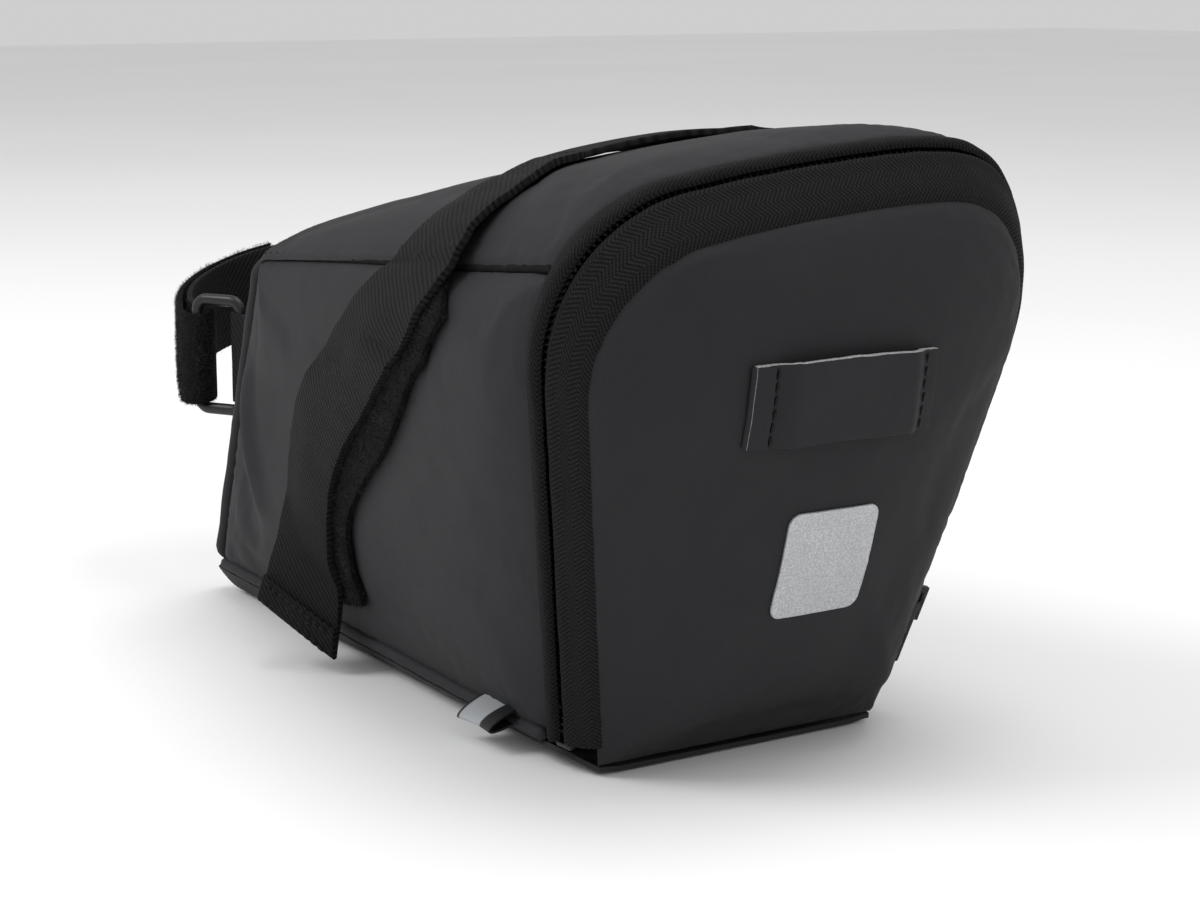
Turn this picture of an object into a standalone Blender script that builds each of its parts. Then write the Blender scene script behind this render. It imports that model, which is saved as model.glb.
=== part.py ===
"""Saddle bag with a U-zipped rear flap, rail straps and a seatpost strap.

Units are metres and +Z is up. The bag stands on its bottom panel with the
origin at the middle of the flat foot. +X points at the rear flap, -X at the
seatpost, and -Y is the bicycle's left side.

The body is a loft between two sections: the leaning edge of the zip band at
the rear and the smaller, leaning front panel. Every panel, board and strap is
a sheet laid on that loft and thickened inwards, so they all follow the same
sizes.
"""
import math

import bmesh
import bpy
from mathutils import Matrix, Vector

# ---------------------------------------------------------------- body sizes
BODY_LENGTH = 0.1616        # flap hinge line to the front bottom seam
FOOT_FRONT_TURN = 0.0076    # the bottom panel's turn-up at the front
FOOT_REAR_TURN = 0.0020     # the bottom panel's turn-up at the flap
FOOT_EDGE_SHARE = 0.80      # flat share of the bottom panel's half width
FRONT_SETBACK = 0.0320      # how far the front panel leans back
FRONT_BOTTOM_HALF = 0.0240
FRONT_BOTTOM_Z = 0.0064
FRONT_TOP_HALF = 0.0288
FRONT_ARCH = 0.0055         # rise of the top panel's middle at the front
SEAM_REAR_Z = 0.0040        # bottom seam at the zip band
TOP_SEAM_DROP = 0.0048      # from the flap's top down to the top seam's rear end
FRONT_TOP_DROP = 0.0128     # from the top seam's rear end down to its front end
SIDE_BELLY = 0.0016         # outward fullness of a side panel
FRONT_BELLY = 0.0020

# ------------------------------------------------------------ rear flap sizes
REAR_LEAN = 0.27            # rearward travel per unit of height
FLAP_HINGE_Z = 0.0016
FLAP_HEIGHT = 0.0944
TOP_SEAM_REAR_Z = FLAP_HEIGHT - TOP_SEAM_DROP
FRONT_TOP_Z = TOP_SEAM_REAR_Z - FRONT_TOP_DROP
FLAP_BOTTOM_HALF = 0.0296
SIDE_FLARE = 0.2294         # outward travel per unit of height
FLAP_CORNER_R = 0.0232
ARCH_SLOPE = 0.16           # slope of the top edge where it meets the corner
FLAP_BULGE = 0.0104
ZIP_FORWARD = 0.0080        # zip line, measured from the flap's border
ZIP_OUT = 0.0028
ZIP_RISE = 0.0080
BAND_FORWARD = 0.0128       # front edge of the zip band, from the border
BAND_OUT = 0.0032
BAND_RISE = 0.0102
ZIP_START = 0.0040          # height at which the zip's two legs begin

# -------------------------------------------------------- thicknesses, gaps
SKIN = 0.0010               # coated fabric with its seam turned in
BOARD = 0.0014              # foam and plastic boards
LINING = 0.0005
TAPE = 0.0008
GAP = 0.0003                # clearance between touching pieces
SEAM_PULL = 0.0006          # how far a sheet stops short of its seam
PIPING_R = 0.0013
BOARD_INSET = 0.0070        # how far a board stops short of a seam

# ------------------------------------------------------------------- webbing
STRAP_WIDTH = 0.0200
STRAP_T = 0.0013
PILE_WIDTH = 0.0200
PILE_T = 0.0014
STRAP_CLEAR = 0.0009
POST_R = 0.0178             # inside of the seatpost strap's loop
POST_CENTRE_AHEAD = 0.0385  # loop centre ahead of the front panel
POST_STRAP_Z = 0.0575
POST_TILT = 0.36            # rise of the loop from left to right
FLANGE_T = 0.0010           # sewn flange under the post strap's end
TAIL_ROUND = 2.05           # how far the post strap's tail wraps, in radians

# --------------------------------------------------------- zip and trim sizes
ZIP_SLIT = 0.0012           # open width between the two tapes
COIL_R = 0.0008
SLIDER_AT = 0.0200          # parking height of the slider on the right leg
SLIDER_LENGTH = 0.0088
SLIDER_WIDTH = 0.0062
SLIDER_PLATE = 0.0010
SLIDER_LIFT = 0.0009        # outer plate's clearance over the tapes
BAIL_WINDOW = 0.0025        # clear height under the slider's bail
BAIL_BAR = 0.0012
BAIL_SINK = 0.0003          # how deep the bail's posts sink into the plate
PULL_LENGTH = 0.0120
PULL_WIDTH = 0.0046
PULL_T = 0.0012
LOOP_WIDTH = 0.0370
LOOP_HEIGHT = 0.0134
LOOP_AT = 0.0645            # height of the lamp loop's middle on the flap
LOOP_GAP = 0.0030           # clear depth behind the lamp loop
LOOP_T = 0.0012
LOOP_FOOT = 0.0050          # sewn foot at each end of the lamp loop
PATCH_SIZE = 0.0190
PATCH_AT = 0.0360
PATCH_T = 0.0004
TAG_WIDTH = 0.0110
TAG_DEPTH = 0.0070
TAG_T = 0.0008
TAG_AHEAD = 0.0280          # tag's middle, ahead of the flap hinge line
RING_BAR = 0.0013           # radius of the plastic ring's bar
RING_INSIDE = 0.0216        # clear height of the ring
RING_SPAN = 0.0090          # clear width of the ring

HINGE_X = (BODY_LENGTH - FOOT_FRONT_TURN - FOOT_REAR_TURN) / 2 + FOOT_REAR_TURN
FRONT_BOTTOM_X = HINGE_X - BODY_LENGTH
FRONT_TOP_X = FRONT_BOTTOM_X + FRONT_SETBACK
CORE = Vector((0.0, 0.0, 0.45 * FLAP_HEIGHT))   # a point inside the bag

for old in list(bpy.data.objects):
    bpy.data.objects.remove(old, do_unlink=True)

PARTS = bpy.data.collections.new("saddle_bag")
CUTTERS = bpy.data.collections.new("cutters")
bpy.context.scene.collection.children.link(PARTS)
bpy.context.scene.collection.children.link(CUTTERS)


def material(name, rgb, roughness, metallic=0.0):
    """Return a plain Principled material."""
    mat = bpy.data.materials.new(name)
    mat.use_nodes = True
    shader = mat.node_tree.nodes["Principled BSDF"]
    shader.inputs["Base Color"].default_value = (*rgb, 1.0)
    shader.inputs["Roughness"].default_value = roughness
    shader.inputs["Metallic"].default_value = metallic
    mat.diffuse_color = (*rgb, 1.0)
    return mat


FABRIC = material("coated_fabric", (0.045, 0.046, 0.048), 0.62)
LINER = material("liner_fabric", (0.16, 0.165, 0.17), 0.7)
FOAM = material("foam_board", (0.1, 0.1, 0.105), 0.85)
PLASTIC_SHEET = material("plastic_board", (0.6, 0.6, 0.58), 0.45)
ZIP_TAPE = material("zip_tape", (0.012, 0.012, 0.013), 0.85)
COIL = material("zip_coil", (0.01, 0.01, 0.01), 0.4)
WEBBING = material("webbing", (0.012, 0.012, 0.013), 0.8)
PILE = material("loop_pile", (0.014, 0.014, 0.015), 0.95)
PLASTIC = material("black_plastic", (0.01, 0.01, 0.011), 0.35)
METAL = material("painted_metal", (0.03, 0.03, 0.032), 0.35, 0.8)
SILVER = material("reflective_film", (0.55, 0.56, 0.57), 0.3, 0.4)


# ------------------------------------------------------------ rails and loft
class Rail:
    """One leaning U-shaped edge of the rear: the border, zip line or band."""

    def __init__(self, forward, out, rise):
        self.forward = forward
        self.base = FLAP_BOTTOM_HALF + out
        self.height = FLAP_HEIGHT + rise
        self.radius = FLAP_CORNER_R + out
        alpha, beta = math.atan(SIDE_FLARE), math.atan(ARCH_SLOPE)
        half = ARCH_SLOPE / 2
        self.run = ((self.height
                     - self.radius * (math.sin(alpha) + math.cos(beta))
                     - half * (self.base + self.radius
                               * (math.sin(beta) - math.cos(alpha))))
                    / (math.cos(alpha) + half * math.sin(alpha)))
        self.alpha, self.beta = alpha, beta
        self.cw = (self.base + self.run * math.sin(alpha)
                   - self.radius * math.cos(alpha))
        self.ch = (self.run * math.cos(alpha)
                   + self.radius * math.sin(alpha))
        self.top_w = self.cw + self.radius * math.sin(beta)
        self.side_h = self.run * math.cos(alpha)
        self.arc_h = self.ch + self.radius * math.cos(beta)

    def width_at(self, h):
        """Half width at height h above the hinge line."""
        if h <= self.side_h:
            return self.base + h * math.tan(self.alpha)
        if h <= self.arc_h:
            reach = self.radius ** 2 - (h - self.ch) ** 2
            return self.cw + math.sqrt(max(reach, 0.0))
        return math.sqrt(max(self.height - h, 0.0) * 2 * self.top_w
                         / ARCH_SLOPE)

    def height_at(self, w):
        """Height of the upper edge at half width w."""
        w = abs(w)
        if w <= self.top_w:
            return self.height - ARCH_SLOPE * w * w / (2 * self.top_w)
        reach = self.radius ** 2 - (w - self.cw) ** 2
        return self.ch + math.sqrt(max(reach, 0.0))

    def point(self, w, h):
        """World point for half width w (signed) and height h."""
        return Vector((HINGE_X - self.forward + REAR_LEAN * h, w,
                       FLAP_HINGE_Z + h))

    def half(self, start, sides, corner, arch):
        """Outline points (w, h) of one half, from height start to the top."""
        pts = []
        for i in range(sides):
            h = start + (self.side_h - start) * i / sides
            pts.append((self.width_at(h), h))
        for i in range(corner + 1):
            a = -self.alpha + (math.pi / 2 - self.beta + self.alpha) \
                * i / corner
            pts.append((self.cw + self.radius * math.cos(a),
                        self.ch + self.radius * math.sin(a)))
        for i in range(1, arch + 1):
            w = self.top_w * (1 - i / arch)
            pts.append((w, self.height_at(w)))
        return pts

    def arc(self, start, sides=5, corner=7, arch=4):
        """World points from the left foot over the top to the right foot."""
        half = self.half(start, sides, corner, arch)
        left = [self.point(-w, h) for w, h in half]
        right = [self.point(w, h) for w, h in reversed(half[:-1])]
        return left + right


BORDER = Rail(0.0, 0.0, 0.0)
ZIP_LINE = Rail(ZIP_FORWARD, ZIP_OUT, ZIP_RISE)
BAND = Rail(BAND_FORWARD, BAND_OUT, BAND_RISE)
FRONT_UP = Vector((FRONT_SETBACK, 0, FRONT_TOP_Z - FRONT_BOTTOM_Z))
FRONT_NORMAL = Vector((-FRONT_UP.z, 0, FRONT_UP.x)).normalized()


def side_point(s, t, hand=-1, lift=0.0):
    """A point on a side panel: s runs forward, t up, hand is -1 for left."""
    def raw(a, b):
        z = SEAM_REAR_Z + (TOP_SEAM_REAR_Z - SEAM_REAR_Z) * b
        h = z - FLAP_HINGE_Z
        rear = BAND.point(hand * BAND.width_at(h), h)
        front = Vector((
            FRONT_BOTTOM_X + FRONT_SETBACK * b,
            hand * (FRONT_BOTTOM_HALF
                    + (FRONT_TOP_HALF - FRONT_BOTTOM_HALF) * b),
            FRONT_BOTTOM_Z + (FRONT_TOP_Z - FRONT_BOTTOM_Z) * b))
        p = rear.lerp(front, a)
        full = max(math.sin(math.pi * min(max(a, 0), 1)), 0) \
            * max(math.sin(math.pi * min(max(b, 0), 1)), 0)
        p.y += hand * SIDE_BELLY * full
        return p
    p = raw(s, t)
    if lift:
        e = 0.01
        n = (raw(s + e, t) - raw(s - e, t)).cross(
            raw(s, t + e) - raw(s, t - e)).normalized()
        if n.y * hand < 0:
            n.negate()
        p = p + n * lift
    return p


def side_normal(s, t, hand=-1):
    """Outward unit normal of a side panel."""
    return (side_point(s, t, hand, 0.001) - side_point(s, t, hand)) / 0.001


def top_point(s, u, lift=0.0):
    """A point on the top panel: s runs forward, u is -1 left to 1 right."""
    def raw(a, b):
        h_seam = TOP_SEAM_REAR_Z - FLAP_HINGE_Z
        w = b * BAND.width_at(h_seam)
        rear = BAND.point(w, BAND.height_at(w) if abs(b) <= 1 else h_seam)
        rise = FRONT_ARCH * (1 - b * b)
        front = Vector((
            FRONT_TOP_X + rise * FRONT_UP.x / FRONT_UP.z,
            b * FRONT_TOP_HALF, FRONT_TOP_Z + rise))
        return rear.lerp(front, a)
    p = raw(s, u)
    if lift:
        e = 0.01
        lo, hi = max(u - e, -1), min(u + e, 1)
        n = (raw(s, hi) - raw(s, lo)).cross(
            raw(s + e, u) - raw(s - e, u)).normalized()
        if n.z < 0:
            n.negate()
        p = p + n * lift
    return p


def top_normal(s, u):
    """Outward unit normal of the top panel."""
    return (top_point(s, u, 0.001) - top_point(s, u)) / 0.001


def front_point(u, v, lift=0.0):
    """A point on the front panel's plane: u across, v up, both from 0 to 1."""
    half = FRONT_BOTTOM_HALF + (FRONT_TOP_HALF - FRONT_BOTTOM_HALF) * v
    b = 2 * u - 1
    base = Vector((FRONT_BOTTOM_X, 0, FRONT_BOTTOM_Z)) + FRONT_UP * v
    base += FRONT_UP * (FRONT_ARCH * (1 - b * b) * v / FRONT_UP.z)
    base.y = b * half
    full = math.sin(math.pi * min(max(u, 0), 1)) \
        * math.sin(math.pi * min(max(v, 0), 1))
    return base + FRONT_NORMAL * (lift + FRONT_BELLY * full)


def span_s(distance):
    """The share of the body's loft that a distance along it takes."""
    return distance / (BODY_LENGTH - BAND_FORWARD - FRONT_SETBACK / 2)


# --------------------------------------------------------------- sheet tools
def finish(obj, mat, parent=None, pivot=None, smooth=True):
    """Link an object, set its material, and place its origin."""
    for coll in list(obj.users_collection):
        coll.objects.unlink(obj)
    PARTS.objects.link(obj)
    obj.data.materials.clear()
    obj.data.materials.append(mat)
    if smooth and obj.type == "MESH":
        obj.data.shade_smooth()
        obj.data.set_sharp_from_angle(angle=math.radians(35))
    if pivot is not None:
        obj.data.transform(Matrix.Translation(-pivot))
        if parent is None:
            obj.location = pivot
    if parent is not None:
        obj.parent = parent
    return obj


def pivot_empty(name, at):
    """An empty that a moving group hangs from."""
    empty = bpy.data.objects.new(name, None)
    empty.empty_display_size = 0.01
    empty.location = at
    PARTS.objects.link(empty)
    return empty


def sheet(name, cols, rows, point, thickness, mat, core=CORE, weld=False,
          parent=None, pivot=None):
    """Lay a grid on point(u, v) and thicken it towards the core.

    Args:
        name: node name.
        cols: faces along u.
        rows: faces along v.
        point: function of u and v, each 0 to 1, that gives a world point.
        thickness: sheet thickness, grown away from the outer face.
        mat: material.
        core: a point on the inner side of the sheet.
        weld: merge coincident edges, for tubes and fans.
        parent: an empty whose location is the pivot, or None.
        pivot: the joint point of a moving piece, or None.

    Returns:
        The new object.
    """
    bpy.ops.mesh.primitive_grid_add(x_subdivisions=cols, y_subdivisions=rows,
                                    size=1.0)
    obj = bpy.context.object
    obj.name = obj.data.name = name
    for vert in obj.data.vertices:
        vert.co = point(vert.co.x + 0.5, vert.co.y + 0.5)
    bm = bmesh.new()
    bm.from_mesh(obj.data)
    if weld:
        bmesh.ops.remove_doubles(bm, verts=bm.verts, dist=0.00002)
    bm.normal_update()
    turn = sum(f.calc_area() * f.normal.dot(f.calc_center_median() - core)
               for f in bm.faces)
    if turn < 0:
        bmesh.ops.reverse_faces(bm, faces=bm.faces)
    bm.to_mesh(obj.data)
    bm.free()
    solid = obj.modifiers.new("thickness", "SOLIDIFY")
    solid.thickness = thickness
    solid.offset = -1.0
    solid.use_even_offset = True
    return finish(obj, mat, parent, pivot)


def ribbon(name, path, normals, width, thickness, mat, core=CORE,
           parent=None, pivot=None, across=None):
    """A strap along a path: its inner face lies on the path.

    Args:
        path: list of world points.
        normals: outward unit vector at each point.
        width: strap width.
        thickness: strap thickness.
        across: optional list of width directions.
    """
    n = len(path)
    rims = []
    for i, p in enumerate(path):
        along = (path[min(i + 1, n - 1)] - path[max(i - 1, 0)]).normalized()
        side = across[i] if across else normals[i].cross(along).normalized()
        outer = p + normals[i] * thickness
        rims.append((outer - side * width / 2, outer + side * width / 2))

    def point(u, v):
        i = round(u * (n - 1))
        return rims[i][0].lerp(rims[i][1], v)
    return sheet(name, n - 1, 1, point, thickness, mat, core,
                 parent=parent, pivot=pivot)


def laid_strip(name, surface, route, width, thickness, lift, mat,
               pivot=None):
    """A strap that follows a curved panel across its whole width.

    Args:
        surface: function of two parameters and a lift.
        route: the strap's middle line, as parameter pairs.
        lift: clearance under the strap.
    """
    n, lanes = len(route), 4

    def shift(i, reach):
        a, b = route[i]
        e = 0.005
        da = (surface(a + e, b, lift) - surface(a - e, b, lift)) / (2 * e)
        db = (surface(a, b + e, lift) - surface(a, b - e, lift)) / (2 * e)
        lo, hi = route[max(i - 1, 0)], route[min(i + 1, n - 1)]
        along = (da * (hi[0] - lo[0]) + db * (hi[1] - lo[1])).normalized()
        side = along.cross(da.cross(db)).normalized() * reach
        aa, ab, bb = da.dot(da), da.dot(db), db.dot(db)
        sa, sb = side.dot(da), side.dot(db)
        det = aa * bb - ab * ab
        return (a + (sa * bb - sb * ab) / det, b + (sb * aa - sa * ab) / det)

    def point(u, v):
        a, b = shift(round(u * (n - 1)), width * (v - 0.5))
        return surface(a, b, lift + thickness)
    return sheet(name, n - 1, lanes, point, thickness, mat, pivot=pivot)


def tube(name, points, radius, mat, closed=False, resolution=2, parent=None,
         pivot=None):
    """A closed-ended round bar through the points."""
    curve = bpy.data.curves.new(name, "CURVE")
    curve.dimensions = "3D"
    curve.bevel_depth = radius
    curve.bevel_resolution = resolution
    curve.use_fill_caps = not closed
    spline = curve.splines.new("POLY")
    spline.points.add(len(points) - 1)
    shift = pivot if pivot is not None else Vector((0, 0, 0))
    for item, p in zip(spline.points, points):
        item.co = (*(p - shift), 1.0)
    spline.use_cyclic_u = closed
    obj = bpy.data.objects.new(name, curve)
    PARTS.objects.link(obj)
    curve.materials.append(mat)
    if parent is not None:
        obj.parent = parent
    elif pivot is not None:
        obj.location = pivot
    return obj


def frame_matrix(at, x_axis, y_axis):
    """A placement from an origin and two directions."""
    x = x_axis.normalized()
    z = x.cross(y_axis).normalized()
    y = z.cross(x).normalized()
    return Matrix.Translation(at) @ Matrix((x, y, z)).transposed().to_4x4()


def block(size, matrix):
    """A box primitive, placed by a matrix, with its scale applied."""
    bpy.ops.mesh.primitive_cube_add(size=1.0)
    obj = bpy.context.object
    obj.data.transform(Matrix.Diagonal((*size, 1.0)))
    obj.data.transform(matrix)
    return obj


# --------------------------------------------------------------- body panels
FRONT_STOP = 1 - span_s(2 * PIPING_R + GAP + SEAM_PULL / 2)
REAR_STOP = span_s(SEAM_PULL)
SIDE_SPAN = TOP_SEAM_REAR_Z - SEAM_REAR_Z


def side_panel(name, hand):
    """One side, stopping under the top panel's edge at the front."""
    def point(u, v):
        s = REAR_STOP + (FRONT_STOP - REAR_STOP) * u
        drop = SEAM_PULL + (SKIN + GAP) * s * 1.2
        top = 1 - drop / SIDE_SPAN
        return side_point(s, top * v, hand)
    return sheet(name, 8, 14, point, SKIN, FABRIC)


def top_panel():
    """The arched top, between the two top seams."""
    def point(u, v):
        s = REAR_STOP + (FRONT_STOP - REAR_STOP) * v
        return top_point(s, 2 * u - 1)
    return sheet("top_panel", 14, 7, point, SKIN, FABRIC)


def front_panel():
    """The front, inside its rolled seam."""
    inset = 2 * PIPING_R + GAP + SEAM_PULL
    iu = inset / (2 * FRONT_BOTTOM_HALF)
    iv = inset / FRONT_UP.length

    def point(u, v):
        return front_point(iu + (1 - 2 * iu) * u, iv + (1 - 2 * iv) * v)
    return sheet("front_panel", 8, 6, point, SKIN, FABRIC)


def foot_edge(x):
    """Half width and height of the bottom seam at a world x."""
    joint = HINGE_X - BAND_FORWARD + REAR_LEAN * (SEAM_REAR_Z - FLAP_HINGE_Z)
    wide = BAND.width_at(SEAM_REAR_Z - FLAP_HINGE_Z)
    if x > joint:
        k = (HINGE_X - x) / (HINGE_X - joint)
        return (FLAP_BOTTOM_HALF + (wide - FLAP_BOTTOM_HALF) * k,
                FLAP_HINGE_Z + (SEAM_REAR_Z - FLAP_HINGE_Z) * k)
    k = (joint - x) / (joint - FRONT_BOTTOM_X)
    return (wide + (FRONT_BOTTOM_HALF - wide) * k,
            SEAM_REAR_Z + (FRONT_BOTTOM_Z - SEAM_REAR_Z) * k)


FOOT_COLS = [-1, -0.93, -0.87, -FOOT_EDGE_SHARE, 0,
             FOOT_EDGE_SHARE, 0.87, 0.93, 1]


def bottom_panel():
    """The foot: flat in the middle, turned up to the bottom seam all round."""
    rear = HINGE_X - SKIN - GAP - SEAM_PULL / 2
    front = FRONT_BOTTOM_X + (2 * PIPING_R + GAP + SEAM_PULL) * 0.6
    flat_front = FRONT_BOTTOM_X + FOOT_FRONT_TURN
    flat_rear = HINGE_X - FOOT_REAR_TURN
    joint = HINGE_X - BAND_FORWARD
    rows = [rear, flat_rear, joint, joint * 0.4 + flat_front * 0.6,
            flat_front, flat_front * 0.55 + front * 0.45,
            flat_front * 0.2 + front * 0.8, front]

    def point(u, v):
        x = rows[round(v * (len(rows) - 1))]
        b = FOOT_COLS[round(u * (len(FOOT_COLS) - 1))]
        wide, edge = foot_edge(x)
        rise = max(edge - SKIN - GAP - SEAM_PULL / 2, 0.0)
        side = max((abs(b) - FOOT_EDGE_SHARE) / (1 - FOOT_EDGE_SHARE), 0)
        nose = max((flat_front - x) / (flat_front - front), 0)
        return Vector((x, b * wide, rise * max(side, nose) ** 2))
    return sheet("bottom_panel", len(FOOT_COLS) - 1, len(rows) - 1, point,
                 SKIN, FABRIC)


def front_piping():
    """The rolled seam round the front panel."""
    inset_u = PIPING_R / (2 * FRONT_BOTTOM_HALF)
    inset_v = PIPING_R / FRONT_UP.length
    turn_u = 0.0035 / (2 * FRONT_BOTTOM_HALF)
    turn_v = 0.0035 / FRONT_UP.length
    lo_u, hi_u, lo_v, hi_v = inset_u, 1 - inset_u, inset_v, 1 - inset_v
    loop = []
    corners = [(lo_u, lo_v, 1, 1, 180), (hi_u, lo_v, -1, 1, 270),
               (hi_u, hi_v, -1, -1, 0), (lo_u, hi_v, 1, -1, 90)]
    for cu, cv, du, dv, start in corners:
        for i in range(4):
            a = math.radians(start + 90 * i / 3)
            loop.append((cu + du * turn_u + turn_u * math.cos(a),
                         cv + dv * turn_v + turn_v * math.sin(a)))
        if start == 0:
            for i in range(1, 7):
                u = hi_u - turn_u + (lo_u - hi_u + 2 * turn_u) * i / 7
                loop.append((u, hi_v))
    points = []
    for u, v in loop:
        base = front_point(u, v)
        full = math.sin(math.pi * u) * math.sin(math.pi * v)
        points.append(base - FRONT_NORMAL * (PIPING_R + FRONT_BELLY * full))
    return tube("front_piping", points, PIPING_R, FABRIC, closed=True)


# --------------------------------------------------- boards and lining inside
BOARD_LIFT = -(SKIN + GAP)
LINING_LIFT = BOARD_LIFT - BOARD - GAP * 1.5


def side_board(name, hand):
    """The foam board behind a side panel."""
    s0, s1 = span_s(BOARD_INSET), 1 - span_s(BOARD_INSET + 2 * PIPING_R)
    t0 = BOARD_INSET / SIDE_SPAN

    def point(u, v):
        return side_point(s0 + (s1 - s0) * u, t0 + (1 - 2.2 * t0) * v, hand,
                          BOARD_LIFT)
    return sheet(name, 6, 7, point, BOARD, FOAM)


def top_board():
    """The foam board under the top panel."""
    s0, s1 = span_s(BOARD_INSET), 1 - span_s(BOARD_INSET + 2 * PIPING_R)
    edge = 1 - BOARD_INSET / FRONT_TOP_HALF

    def point(u, v):
        return top_point(s0 + (s1 - s0) * v, edge * (2 * u - 1), BOARD_LIFT)
    return sheet("top_board", 10, 5, point, BOARD, FOAM)


def front_board():
    """The foam board behind the front panel."""
    iu = (BOARD_INSET + PIPING_R) / (2 * FRONT_BOTTOM_HALF)
    iv = (BOARD_INSET + PIPING_R) / FRONT_UP.length

    def point(u, v):
        return front_point(iu + (1 - 2 * iu) * u, iv + (1 - 2 * iv) * v,
                           BOARD_LIFT)
    return sheet("front_board", 6, 4, point, BOARD, FOAM)


def bottom_board():
    """The plastic sheet that keeps the foot flat."""
    x0 = FRONT_BOTTOM_X + FOOT_FRONT_TURN + 0.004
    x1 = HINGE_X - BAND_FORWARD - 0.002

    def point(u, v):
        x = x0 + (x1 - x0) * u
        wide = foot_edge(x)[0] * (FOOT_EDGE_SHARE - 0.06)
        return Vector((x, wide * (2 * v - 1), SKIN + GAP))
    return sheet("bottom_board", 4, 2, point, BOARD, PLASTIC_SHEET)


def body_lining():
    """A sewn tub that lines the whole compartment, open at the flap."""
    s0 = span_s(0.0030)
    s1 = 1 - span_s(-LINING_LIFT + 2 * PIPING_R + 0.0012)
    tuck = 0.0055
    t0, t1 = tuck / SIDE_SPAN, 1 - tuck / SIDE_SPAN
    u1 = 1 - tuck / FRONT_TOP_HALF
    rows = 6

    def ring(s):
        right = [side_point(s, t0 + (t1 - t0) * i / 5, 1, LINING_LIFT)
                 for i in range(6)]
        top = [top_point(s, u1 * (1 - i / 4), LINING_LIFT)
               for i in range(9)]
        left = [Vector((p.x, -p.y, p.z)) for p in reversed(right)]
        low = []
        for b in (-0.70, 0.0, 0.70):
            p = side_point(s, 0.0, 1)
            low.append(Vector((p.x, b * p.y, SKIN - LINING_LIFT)))
        return right + top + left + low + right[:1]

    rings = [ring(s0 + (s1 - s0) * i / rows) for i in range(rows + 1)]
    hub = sum((p for p in rings[-1][:-1]), Vector()) / (len(rings[-1]) - 1)
    rings.append([hub.lerp(p, 0.5) for p in rings[-1]])
    rings.append([hub for _ in rings[-1]])
    cols = len(rings[0]) - 1
    return sheet("body_lining", cols, len(rings) - 1,
                 lambda u, v: rings[round(v * (len(rings) - 1))]
                 [round(u * cols)], LINING, LINER, weld=True)


# ---------------------------------------------------------------- zip closure
def zip_tape(name, outer, inner, outer_pull, inner_pull, parent=None,
             pivot=None):
    """One zip tape, a U-shaped strip between two rails."""
    a, b = outer.arc(ZIP_START), inner.arc(ZIP_START)

    def point(u, v):
        i = round(u * (len(a) - 1))
        width = (b[i] - a[i]).length
        k0, k1 = outer_pull / width, 1 - inner_pull / width
        return a[i].lerp(b[i], k0 + (k1 - k0) * v)
    return sheet(name, len(a) - 1, 1, point, TAPE, ZIP_TAPE, parent=parent,
                 pivot=pivot)


def zip_axes(i, path):
    """Inward and rearward directions of the zip at one point of its line."""
    along = (path[min(i + 1, len(path) - 1)]
             - path[max(i - 1, 0)]).normalized()
    across = BORDER.arc(ZIP_START)[i] - BAND.arc(ZIP_START)[i]
    across = (across - along * across.dot(along)).normalized()
    inward = along.cross(across).normalized()
    if inward.dot(CORE - path[i]) < 0:
        inward.negate()
    return along, across, inward


COIL_DEPTH = TAPE + 2 * GAP + COIL_R


def zip_coil(name, turn, parent=None, pivot=None):
    """One half of the coil, under its tape's edge; turn is 1 on the flap."""
    path = ZIP_LINE.arc(ZIP_START)
    points = []
    for i, p in enumerate(path):
        _, across, inward = zip_axes(i, path)
        points.append(p + across * turn * (ZIP_SLIT / 2 + COIL_R + 0.0001)
                      + inward * COIL_DEPTH)
    return tube(name, points, COIL_R, COIL, parent=parent, pivot=pivot)


def leg_frame(at):
    """Point and axes of the zip's straight right leg at a height."""
    def p(h):
        return ZIP_LINE.point(ZIP_LINE.width_at(h), h)
    along = (p(at + 0.001) - p(at)).normalized()
    rear = (BORDER.point(BORDER.width_at(at), at)
            - BAND.point(BAND.width_at(at), at))
    across = (rear - along * rear.dot(along)).normalized()
    outward = across.cross(along).normalized()
    if outward.y < 0:
        outward.negate()
    return p(at), along, across, outward


def union(base, other):
    """Join another solid into base with an exact boolean, and drop it."""
    for coll in list(other.users_collection):
        coll.objects.unlink(other)
    CUTTERS.objects.link(other)
    other.hide_render = True
    other.display_type = "WIRE"
    mod = base.modifiers.new("join", "BOOLEAN")
    mod.operation = "UNION"
    mod.solver = "EXACT"
    mod.object = other


def slider_eye():
    """The pull's pivot: the middle of the slider's bail window."""
    at, along, across, outward = leg_frame(SLIDER_AT)
    lift = SLIDER_LIFT + SLIDER_PLATE + BAIL_WINDOW / 2
    return at + outward * lift, along, across, outward


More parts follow.
